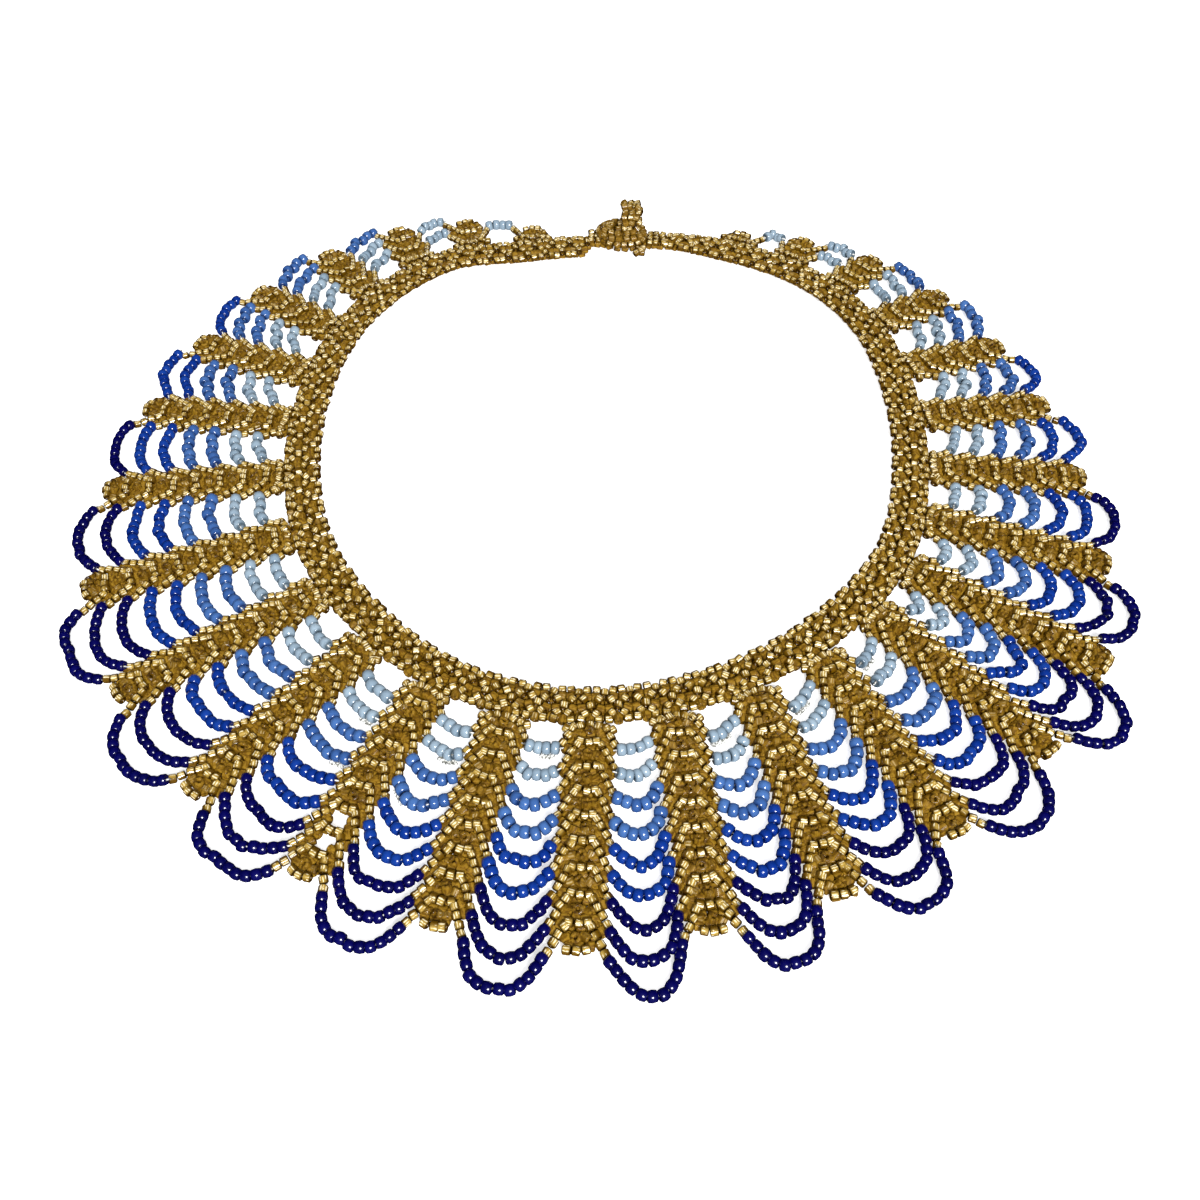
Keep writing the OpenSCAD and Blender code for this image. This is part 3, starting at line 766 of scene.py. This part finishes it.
# how thread that was left over lies: points along it, out from the string, middle above the table
LOOSE_POINTS, LOOSE_OUT, LOOSE_HEIGHT = 48, 1.4, 0.9
# where thread was left over: bay, row, and the part of the string that it lies beside
LEFT_OVER = [(10, 2, 0.75, 1.1), (10, 4, 0.8, 1.05), (11, 2, 0.5, 1.05), (11, 4, 0.0, 0.3),
             (12, 1, 0.45, 1.0), (14, 1, -0.2, 0.6), (15, 1, -0.15, 0.5), (16, 1, -0.15, 0.45)]


def thread_tubes():
    """All the tubes: one through each string, and two plies for each length that was left over. A
    length runs beside its string at an even distance, and past its end in a straight line."""
    tubes = []
    for centre in strings.values():
        reach = THREAD_REACH * unit(centre[[0, -1]] - centre[[1, -2]])
        route = np.vstack([centre[0] + reach[0], centre, centre[-1] + reach[1]])
        tubes.append(tube(route, THREAD_RADIUS, THREAD_SIDES))
    for bay, row, start, end in LEFT_OVER:
        centre = strings[bay, row]
        chord = centre[-1] - centre[0]
        longer = np.vstack([2 * centre[0] - centre[1], centre, 2 * centre[-1] - centre[-2]])
        steps = np.linspace(start, end, LOOSE_POINTS) * (len(centre) - 1) + 1
        middle = np.stack([np.interp(steps, np.arange(len(longer)), longer[:, c]) for c in range(3)], -1)
        middle[:, :2] += LOOSE_OUT * square_to(np.arctan2(chord[1], chord[0]))
        middle[:, 2] = LOOSE_HEIGHT
        tubes += [tube(ply, PLY_RADIUS, PLY_SIDES) for ply in two_plies(middle)]
    return tubes


all_tubes = thread_tubes()
print("tubes of thread:", len(all_tubes))

# %% Cotton and the thread piece
FIBRE_SCALE, FIBRE_DETAIL, FIBRE_RELIEF = 2200, 3, 0.05 * MM
FIBRES = [(0.42, (0.14, 0.14, 0.12)), (0.56, (0.76, 0.76, 0.73))]


def cotton_material():
    """Cotton: an off-white that fine fibres streak, matt, with the fibres as a little relief."""
    material = bpy.data.materials.new("white_cotton")
    material.use_nodes = True
    tree = material.node_tree
    shader = tree.nodes["Principled BSDF"]
    shader.inputs["Roughness"].default_value = 0.85
    shader.inputs["Specular IOR Level"].default_value = 0.2
    place = tree.nodes.new("ShaderNodeTexCoord")
    fibres = tree.nodes.new("ShaderNodeTexNoise")
    fibres.inputs["Scale"].default_value = FIBRE_SCALE
    fibres.inputs["Detail"].default_value = FIBRE_DETAIL
    tree.links.new(place.outputs["Object"], fibres.inputs["Vector"])
    tree.links.new(colour_ramp(tree, fibres.outputs["Fac"], FIBRES), shader.inputs["Base Color"])
    relief(tree, shader, fibres.outputs["Fac"], 0.5, FIBRE_RELIEF)
    return material


points, corners, sizes, count = [], [], [], 0
for tube_points, quads, ends in all_tubes:
    points.append(tube_points)
    corners += [quads.ravel() + count, ends.ravel() + count]
    sizes += [np.full(len(quads), 4), np.full(2, ends.shape[1])]
    count += len(tube_points)
thread = new_piece("thread", np.concatenate(points), np.concatenate(corners), np.concatenate(sizes),
                   cotton_material())
print("thread faces:", len(thread.data.polygons))

# %% [markdown]
# ## The ribs
# A rib is netting. A bar of three beads lies across it, a strand of four beads slants from each end
# of the bar to the foot of the arch, where a blue string takes over, and one bead stands on end in the
# middle of the cell. Under these lies a second course of beads that shows as dark amber. The pattern
# of one cell is a few short rules, and the rib repeats them at its own pitch.

# %% Gold netting and a rib's own frame
GOLD_RADIUS, GOLD_HALF = 0.92, 0.80
# how full the lowest beads are made, and how much less those on top
FULLEST, FULLER = 1.14, 0.16
# height of the netting on a rib's axis and at its edge, and how far from the axis the edge is
RIB_CROWN, RIB_EDGE, RIB_HALF = 3.0, 2.0, 5.6
# how far every bead in the netting strays, and by how much of its direction it tilts
NET_SHAKE, NET_TILT = 0.06, 0.10


def gold_piece(name, beads):
    """A piece of gold netting from a list of beads. The lower a bead lies, the fuller it is made, up
    to a seventh, so that the lower course closes to a ground without gaps."""
    fuller = FULLEST - FULLER * np.clip(beads[:, 6], 0, 1)
    piece = bead_piece(name, beads, GOLD_BEAD, GOLD_RADIUS * fuller, GOLD_HALF * fuller,
                       gold_glass, GOLD_CREASES, GOLD_SIDES)
    return piece


def rib_height(across):
    """Height of a bead's centre on the rib's dome: it falls from the crown to the edge as the square
    of the distance from the axis, less the bead's radius."""
    return RIB_CROWN - (RIB_CROWN - RIB_EDGE) * np.minimum(np.abs(across) / RIB_HALF, 1) ** 2 - GOLD_RADIUS


def local_beads(across, out, height, turn, tilt, tone):
    """Beads in a rib's own frame. turn is the hole's direction in degrees from straight out, to the
    right, and tilt how far it rises."""
    across, out, height, turn, tilt, tone = np.broadcast_arrays(across, out, height, turn, tilt, tone)
    turn, tilt = np.radians(turn), np.radians(tilt)
    axis = np.stack([np.sin(turn) * np.cos(tilt), np.cos(turn) * np.cos(tilt), np.sin(tilt)], -1)
    return np.column_stack([np.ravel(across), np.ravel(out), np.ravel(height),
                            axis.reshape(-1, 3), np.ravel(tone)])


def in_place(rib, beads):
    """A rib's beads moved from its own frame to the collar's: across along the aim, out square to it."""
    aim = np.radians(AIMS[rib])
    root, _ = neckline(ROOTS[rib], ROOT_OUT)
    turned = beads.copy()
    for c in (0, 3):
        turned[:, c:c + 2] = beads[:, c:c + 1] * along(aim) + beads[:, c + 1:c + 2] * square_to(aim)
    turned[:, :2] += root
    return turned


print("middles of the beads on a rib lie", rib_height(0), "mm high on its axis and", rib_height(RIB_HALF),
      "at its edge")

# %% Strands, cells and ground of a rib
# a strand's start and end across the rib, its start as a part of the pitch, beads for each millimetre
LEG_IN, LEG_OUT, LEG_FIRST, LEG_BEADS = 2.4, 5.0, 0.13, 0.8
LOW_LEG_SHIFT, LOW_LEG_TONE = 0.5, 0.2
# beads inside a cell: middle of the cell, their play, and how far the side ones lie from the axis
CELL_MIDDLE, CELL_PLAY, CELL_SIDE, CELL_TONE = 0.52, 0.2, 1.75, 0.35
STANDING_SUNK, STANDING_TILT, SIDE_HEIGHT, SIDE_TILT = 0.15, 68, 1.45, 25
# ground: first row, step of the rows and of the beads, shift to the left, height and tone
GROUND_FIRST, GROUND_ROW, GROUND_STEP, GROUND_SHIFT = 0.2, 1.62, 1.75, 0.44
GROUND_HEIGHT, GROUND_TONE, GROUND_TURN = 1.05, 0.12, 15
# half width of the ground, next to the band up to a distance, and near the tip from a distance
GROUND_HALF, ROOT_HALF, ROOT_LENGTH, TIP_HALF, TIP_LENGTH = 3.6, 3.9, 1.5, 2.6, 2.5


def legs(rib, rows, side, low):
    """Slanting strands of one side, one for each cell. Bead i of n goes evenly from the bar's end to
    the arch's foot, at the next bar. Low ones lie on the table, half a pitch on, without a last bead."""
    pitch = PITCHES[rib]
    whole = max(2, round(LEG_BEADS * pitch))
    t = np.arange(whole - low) / (whole - 1)
    across = LEG_IN + (LEG_OUT - LEG_IN) * t
    bars = bar_out(rib, np.arange(1, rows + 1))[:, None]
    out = bars + pitch * (LEG_FIRST + (1 - LEG_FIRST) * t + LOW_LEG_SHIFT * low)
    turn = np.degrees(np.arctan2(LEG_OUT - LEG_IN, pitch * (1 - LEG_FIRST)))
    height = np.full(t.size, GOLD_RADIUS) if low else rib_height(across)
    return local_beads(side * across, out, height, side * turn, 0, LOW_LEG_TONE if low else 1.0)


def cell_beads(rib, rows):
    """Beads inside the cells: one on end in the middle of each, and one lying on each side of it."""
    cells = bar_out(rib, np.arange(1, rows + 1)) + CELL_MIDDLE * PITCHES[rib]
    parts = [local_beads(rng.normal(0, CELL_PLAY, rows), cells, RIB_CROWN - GOLD_RADIUS - STANDING_SUNK,
                         rng.uniform(0, 360, rows), STANDING_TILT, CELL_TONE)]
    for across in (-CELL_SIDE, CELL_SIDE):
        parts.append(local_beads(across, cells + rng.normal(0, CELL_PLAY, rows), SIDE_HEIGHT,
                                 rng.uniform(0, 180, rows), SIDE_TILT, CELL_TONE))
    return np.concatenate(parts)


def ground_beads(last, stop):
    """The course on the table: rows of five beads across, every second row half a bead over, less
    those that lie outside the half width."""
    rows = np.arange(GROUND_FIRST, stop, GROUND_ROW)
    out, across = np.meshgrid(rows, np.arange(-2, 3) * GROUND_STEP, indexing="ij")
    across = across + GROUND_STEP / 2 * (np.arange(len(rows)) % 2)[:, None] - GROUND_SHIFT
    half = np.where(out < ROOT_LENGTH, ROOT_HALF, np.where(out > last - TIP_LENGTH, TIP_HALF, GROUND_HALF))
    keep = np.abs(across) < half
    turn = rng.uniform(90 - GROUND_TURN, 90 + GROUND_TURN, keep.sum())
    return local_beads(across[keep], out[keep], GROUND_HEIGHT, turn, 0, GROUND_TONE)


print("beads of a strand, at the end and in the middle:", len(legs(0, 1, 1, False)),
      len(legs(EACH_SIDE, 1, 1, False)))

# %% All the beads of a rib
# a bar's beads: across, out of line, turned from straight across
BAR = np.array([[-1.6, -0.12, -12], [0, 0.14, 0], [1.6, -0.12, 12]])
BAR_TONE = 0.95
# what closes a side with one cell less: across, out from the last bar, height, turn, tilt, tone
SHORT_SIDE = np.array([[3.5, -3.6, 1.3, 20, 60, 0.75], [3.1, -2.0, 1.3, 60, 60, 0.75],
                       [1.9, -0.9, 1.5, 110, 60, 0.75], [3.3, -4.6, 1.0, 160, 20, 0.3],
                       [3.6, -2.9, 1.0, 30, 20, 0.3]])
# how far the last bar is drawn in, and the ground stops before it: where the sides are even, or not
DRAWN_IN, STOPPED = {True: 0.3, False: 1.0}, {True: 0.6, False: 1.4}
# the row of beads at the root: places across, distance out and its growth, sunk, fan, tone
ROOT_ROW = np.array([-4.4, -3.0, -1.5, 0, 1.5, 3.0, 4.4])
ROOT_FROM, ROOT_CURVE, ROOT_SUNK, ROOT_FAN, ROOT_TONE = 0.35, 0.1, 0.1, -14, 0.75
NEAREST_BAND = 0.1


def rib_beads(rib):
    """All the beads of a rib in its own frame: bars, cells, strands, the course below and the root."""
    rows_left, rows_right = bay_rows(rib - 1), bay_rows(rib)
    rows, even = max(rows_left, rows_right), rows_left == rows_right
    last = bar_out(rib, rows + 1)
    bars = bar_out(rib, np.arange(1, rows + 2))
    bars[-1] -= DRAWN_IN[even]
    across, off_line, turn = BAR.T
    parts = [local_beads(across, bars[:, None] + off_line, rib_height(across), 90 + turn, 0, BAR_TONE),
             cell_beads(rib, rows)]
    for side, count in ((-1, rows_left), (1, rows_right)):
        parts.append(legs(rib, count, side, False))
        parts.append(legs(rib, max(count - 1, 0), side, True))
        if count < rows:
            across, out, *rest = SHORT_SIDE.T
            parts.append(local_beads(side * across, last + out, *rest))
    parts.append(ground_beads(last, last - STOPPED[even]))
    root_out = ROOT_FROM + ROOT_CURVE * np.abs(ROOT_ROW)
    parts.append(local_beads(ROOT_ROW, root_out, rib_height(ROOT_ROW) - ROOT_SUNK, ROOT_FAN * ROOT_ROW,
                             0, ROOT_TONE))
    beads = np.concatenate(parts)
    return beads[beads[:, 1] > NEAREST_BAND]


print("beads in the middle rib:", 3 * (MOST_ROWS + 1), "in bars,", 3 * MOST_ROWS, "in cells")

# %% [markdown]
# One rib, left of the throat, has lost the middle beads of two cells near its tip, and the table
# shows through. Its beads are laid like the others, and those near the two places are left out.

# %% Lay the ribs
WORN_RIB, WORN_CELLS, WORN_REACH = 11, (7, 8), 1.9
for rib in range(len(ROOTS)):
    beads = rib_beads(rib)
    if rib == WORN_RIB:
        for cell in WORN_CELLS:
            hole = bar_out(rib, cell + 0.5)
            beads = beads[np.hypot(beads[:, 0], beads[:, 1] - hole) > WORN_REACH]
    piece = gold_piece(f"rib_{rib + 1:02d}_netting", shaken(in_place(rib, beads), NET_SHAKE, NET_TILT))
    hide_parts(f"rib_{rib + 1:02d}")

# %% [markdown]
# ## The neckband
# The band is the same netting, worked round the neck: two rows of cells, half a cell apart, between
# an inner edge of small scallops and an outer edge of bars. Each bay has three cells and each rib
# grows from the foot of one. Cells are set by their middles along the neckline, so they open and
# close with the bays as they do on the real collar. The netting and the ground under it are a piece
# each, which keeps both light enough.

# %% Cells of the band
LOOP_ROOM, TOGGLE_ROOM, CELL_ROOM = 6.9, 12, 1.2
STOP_LEFT, STOP_RIGHT = HALF_LINE - LOOP_ROOM, HALF_LINE - TOGGLE_ROOM
CELLS_PER_BAY, CELLS_LEFT, CELLS_RIGHT = 3, 3, 4
middles = np.interp(np.arange(BAYS * CELLS_PER_BAY + 1) / CELLS_PER_BAY, np.arange(len(ROOTS)), ROOTS)
middles = np.concatenate([np.linspace(-STOP_LEFT + CELL_ROOM, middles[0], CELLS_LEFT + 1)[:-1], middles,
                          np.linspace(middles[-1], STOP_RIGHT - CELL_ROOM, CELLS_RIGHT + 1)[1:]])
# a cell's beads: along in parts of the cell, out in parts of the width, turn from the neckline, tone
CELL = np.array([
    [-0.18, 0.12, 8, 1.0], [0.18, 0.12, -8, 1.0], [0.5, 0.22, 88, 0.9], [0.29, 0.41, 42, 0.9],
    [-0.29, 0.41, -42, 0.9], [0.0, 0.58, 90, 0.9], [0.23, 0.76, 38, 0.9], [-0.23, 0.76, -38, 0.9],
    [0.33, 0.89, 4, 1.0], [0.67, 0.89, -4, 1.0],
    [-0.16, 0.31, 12, 0.25], [0.16, 0.31, -12, 0.25], [0.34, 0.63, 12, 0.25], [0.66, 0.63, -12, 0.25],
    [0.0, 0.88, 88, 0.3],
])
print("cells round the neck:", len(middles), "with", len(CELL), "beads each")

# %% Beads of the band
BAND_CROWN, BAND_EDGE = 3.2, 2.2
# width of the band at its two ends, and over how far it widens
END_LEFT, DRAW_LEFT, END_RIGHT, DRAW_RIGHT = 7.0, 2.0, 5.4, 15.0
# ground: rows as parts of the width, step along, room at the ends, turn and tone
LOW_ROWS, LOW_STEP, LOW_ROOM, LOW_TURN, LOW_TONE = [0.24, 0.42, 0.61, 0.80], 1.7, 1, 15, 0.15
# beads with a tone under the half sink, and the left end is cut aslant below a part of the width
SUNK, CUT_LEFT, CUT_SLANT, CUT_BELOW, CUT_RIGHT = 0.45, 0.6, 8, 0.42, 0.3


def band_shape(s):
    """Width of the band and how far its inner edge is drawn in, at distances along the neckline."""
    part = np.where(s < 0, (s + STOP_LEFT) / DRAW_LEFT, (STOP_RIGHT - s) / DRAW_RIGHT)
    end_width = np.where(s < 0, END_LEFT, END_RIGHT)
    width = end_width + (BAND - end_width) * np.clip(part, 0, 1)
    return width, (BAND - width) / 2


def band_beads():
    """The band's beads: the cell table at every middle, fitted to the band's width, over the low rows.
    A height is the crown less the fall to the edge times the square of twice the part out less one."""
    s = (middles[:, None] + np.gradient(middles)[:, None] * CELL[:, 0]).ravel()
    out, turn, tone = (np.tile(column, len(middles)) for column in CELL.T[1:])
    low_s, low_out = np.meshgrid(np.arange(-STOP_LEFT + LOW_ROOM, STOP_RIGHT - LOW_ROOM, LOW_STEP), LOW_ROWS)
    low_s = low_s + LOW_STEP / 2 * (np.arange(len(LOW_ROWS)) % 2)[:, None]
    s = np.concatenate([s, low_s.ravel()])
    out = np.concatenate([out, low_out.ravel()])
    turn = np.concatenate([turn, rng.uniform(-LOW_TURN, LOW_TURN, low_s.size)])
    tone = np.concatenate([tone, np.full(low_s.size, LOW_TONE)])
    cut = -STOP_LEFT + CUT_LEFT + CUT_SLANT * np.clip(CUT_BELOW - out, 0, 1)
    inside = (s > cut) & (s < STOP_RIGHT - CUT_RIGHT)
    s, out, turn, tone = s[inside], out[inside], turn[inside], tone[inside]
    width, inset = band_shape(s)
    place, heading = neckline(s, inset + out * width)
    dome = BAND_CROWN - (BAND_CROWN - BAND_EDGE) * (2 * out - 1) ** 2
    height = np.where(tone <= LOW_TONE, GOLD_RADIUS, dome - GOLD_RADIUS - SUNK * (tone < 0.5))
    way = along(heading + np.radians(-turn))
    return bead_rows(np.column_stack([place, height]), np.column_stack([way, np.zeros(len(s))]), tone)


beads = band_beads()
on_table = beads[:, 6] <= LOW_TONE
for name, course in (("neckband_netting", beads[~on_table]), ("neckband_ground", beads[on_table])):
    piece = gold_piece(name, shaken(course, NET_SHAKE, NET_TILT))
    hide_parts("neckband")

# %% [markdown]
# ## The closure
# At the back the left end of the band becomes a beaded loop, and the right end a beaded toggle that
# has been pushed through it and stands up a little way. Both are solid beadwork, so they are built
# in courses: rings of beads one over the other, with the toggle's leaning back. Places are worked
# out from the middle of the closure, which lies beyond the back of the neckline.

# %% Rings and grids of beads
# how far the closure's middle lies beyond the neckline
CLOSURE_OUT = 3.6
CLOSURE = np.array([FRONT[0], CENTRES[3][1] + RADII[3] + CLOSURE_OUT + FRONT[1]])
# step of the beads round an oval, and the height of a bead that lies on the table
OVAL_STEP, ON_TABLE = 1.72, 0.98
ALONG_X = (1, 0, 0)


def oval_course(centre, half_x, half_y, height, tone):
    """Beads round an oval, holes along it: cosine and sine times the half sizes, at even angles."""
    count = round(np.pi * (half_x + half_y) / OVAL_STEP)
    angle = (np.arange(count) + rng.random()) / count * 2 * np.pi
    place = np.column_stack([centre[0] + half_x * np.cos(angle), centre[1] + half_y * np.sin(angle),
                             np.full(count, height)])
    way = np.column_stack([-half_x * np.sin(angle), half_y * np.cos(angle), np.zeros(count)])
    return bead_rows(place, way, tone)


def bead_grid(xs, ys, height, tone, way=ALONG_X):
    """Beads at one height on a grid of places beside the closure's middle."""
    x, y = np.meshgrid(CLOSURE[0] + xs, CLOSURE[1] + ys)
    return bead_rows(np.column_stack([x.ravel(), y.ravel(), np.full(x.size, height)]), way, tone)


print("middle of the closure:", CLOSURE.round(1))

# %% Loop
LOOP_MIDDLE = CLOSURE + [0.95, 0]
LOOP_NECK = np.array([-1.7, 0, 1.7])
# a course of the loop: shift to the right and back, half sizes, height, tone
LOOP_COURSES = [(0, 0, 5.6, 3.4, 1.1, 0.3), (0, 0, 6.1, 4.1, 2.6, 0.6), (0, 0, 4.6, 2.7, 3.0, 0.2),
                (0, 0, 2.8, 1.4, 2.6, 0.2), (-0.3, 0.3, 5.9, 3.9, 3.9, 0.45),
                (-0.6, 0.4, 4.7, 2.8, 4.8, 0.4), (-1.4, 0.2, 2.6, 1.2, 5.2, 0.4)]
loop_beads = np.concatenate(
    [bead_grid(np.array([-7.3, -5.7, -4.1]), LOOP_NECK, ON_TABLE, 0.2),
     bead_grid(np.array([-7.6, -6.0]), LOOP_NECK, 2.1, 0.85, (0.9, 0.5, 0))]
    + [oval_course(LOOP_MIDDLE + course[:2], *course[2:]) for course in LOOP_COURSES])
print("loop beads:", len(loop_beads))

# %% Toggle
TOGGLE_FOOT = CLOSURE + [3.4, -1.0]
LEAN = np.tan(np.radians(10))
LEVELS = np.arange(ON_TABLE, 11.6, 1.5)
# places of a level's beads: across, by turns, and back; then how far they turn and rise, and their tones
ACROSS = np.array([[-1.5, 0.3, 2.0], [-2.0, -0.3, 1.4]])
BACK_AND_FORTH = [-0.75, 0.75]
WIDEST_TURN, BACK_SHARE, RISE_SHARE, DULLEST, BRIGHTEST = 0.9, 0.25, 0.8, 0.35, 1.0
# beads on top, from the foot, and of the stem under the loop, from the middle: right, back, height
TOP = np.array([[-2.1, 0.1, 11.2], [-0.5, 0.5, 11.7], [1.2, 0.2, 11.4], [2.1, 0.3, 9.9], [0.4, -0.5, 10.9]])
TOP_HEIGHT = 11
STEM = np.array([[5.0, -5.3, 1.0], [6.5, -5.0, 1.0], [5.2, -3.9, 1.2], [6.6, -3.5, 1.2], [5.8, -4.6, 1.5]])


def toggle_course(level, height):
    """Six beads of the toggle, in two rows of three, moved back by the lean times the height."""
    x, y = np.meshgrid(ACROSS[level % 2], BACK_AND_FORTH)
    place = np.column_stack([TOGGLE_FOOT[0] + x.ravel(), TOGGLE_FOOT[1] + (y.ravel() + LEAN * height),
                             np.full(x.size, height)])
    turn = rng.uniform(-WIDEST_TURN, WIDEST_TURN, x.size)
    way = np.column_stack([np.cos(turn), BACK_SHARE * np.sin(turn), RISE_SHARE * np.sin(turn)])
    return bead_rows(place, way, rng.uniform(DULLEST, BRIGHTEST, x.size))


toggle_beads = np.concatenate([toggle_course(level, height) for level, height in enumerate(LEVELS)] + [
    bead_rows(TOP + [TOGGLE_FOOT[0], TOGGLE_FOOT[1] + LEAN * TOP_HEIGHT, 0], [[0.95, 0.1, 0.3]], 0.95),
    bead_grid(np.arange(6.6, 13.0, 1.6), np.array([-1.8, 0, 1.8]), ON_TABLE, 0.2),
    bead_grid(np.array([8.6, 10.3, 12.0]), np.array([-2.0, 2.0]), 1.9, 1.0),
    bead_grid(np.array([8.4, 10.0, 11.6]), np.array([-0.6, 0.7]), 2.1, 0.7, (0.5, 0.8, 0)),
    bead_rows(STEM + [*CLOSURE, 0], [[1, 0.3, 0]], 0.75),
])
print("toggle beads:", len(toggle_beads))

# %% Lay the closure
CLOSURE_SHAKE, CLOSURE_TILT = 0.08, 0.2
for name, node, beads in (("loop_beadwork", "clasp_loop", loop_beads),
                          ("toggle_beadwork", "clasp_toggle", toggle_beads)):
    piece = gold_piece(name, shaken(beads, CLOSURE_SHAKE, CLOSURE_TILT))
    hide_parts(node)

# %% [markdown]
# ## Table and light
# The collar lies on a plain pale table that glows a little, so it stays white close to the beads. One
# soft lamp behind the camera is mirrored in every bead as a small highlight. A wide lamp above and
# one behind the collar only fill in. Nothing but the first lamp is mirrored, since a table, a sky or a
# wide lamp in the glass would lay a broad pale patch over every bead.

# %% Table
HALF_TABLE = 3
TABLE_LOOK = {"Base Color": (0.86, 0.86, 0.86, 1), "Roughness": 0.7,
              "Emission Color": (1, 1, 1, 1), "Emission Strength": 0.6}
floor = bpy.data.objects.new("floor", bpy.data.meshes.new("floor"))
corners = [(x * HALF_TABLE, y * HALF_TABLE, 0) for x, y in ((-1, -1), (1, -1), (1, 1), (-1, 1))]
floor.data.from_pydata(corners, [], [(0, 1, 2, 3)])
bpy.context.scene.collection.objects.link(floor)
floor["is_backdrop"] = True
floor.visible_glossy = False
pale = bpy.data.materials.new("pale_table")
pale.use_nodes = True
for socket, value in TABLE_LOOK.items():
    pale.node_tree.nodes["Principled BSDF"].inputs[socket].default_value = value
floor.data.materials.append(pale)
print("table:", 2 * HALF_TABLE, "m wide")

# %% Lamps and sky
# place in metres, size, power, and whether it is mirrored in the glass
LAMPS = {"key": ((0.28, -0.90, 0.84), 0.56, 25.5, True), "above": ((-0.3, 0.1, 0.9), 0.9, 2.5, False),
         "behind": ((-0.1, 0.7, 0.55), 0.5, 1.6, False)}
SKY = 0.28


def lamp(name, place, size, power, mirrored):
    """A round soft lamp that faces the middle of the collar: tilted by the angle between straight
    down and the way to the middle, and turned by that way's direction on the table."""
    light = bpy.data.lights.new(name, "AREA")
    light.shape = "DISK"
    light.size = size
    light.energy = power
    lamp_object = bpy.data.objects.new(name, light)
    lamp_object.location = place
    lamp_object.visible_glossy = mirrored
    direction = -np.array(place)
    lamp_object.rotation_euler = (np.arctan2(np.hypot(*direction[:2]), -direction[2]), 0,
                                  np.arctan2(direction[0], -direction[1]) + np.pi)
    bpy.context.scene.collection.objects.link(lamp_object)


for name, (place, size, power, mirrored) in LAMPS.items():
    lamp(name, place, size, power, mirrored)
world = bpy.data.worlds.new("studio")
world.use_nodes = True
world.node_tree.nodes["Background"].inputs["Color"].default_value = (1, 1, 1, 1)
world.node_tree.nodes["Background"].inputs["Strength"].default_value = SKY
world.cycles_visibility.glossy = False
bpy.context.scene.world = world
bpy.context.scene.view_settings.view_transform = "Standard"
print("lamps:", ", ".join(LAMPS))

# %% Finish
visual_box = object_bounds()
sizes = {"cad": [list(p) for p in cad_box], "visual": [list(p) for p in visual_box]}
print("visual box:", [tuple(round(c, 4) for c in p) for p in visual_box])
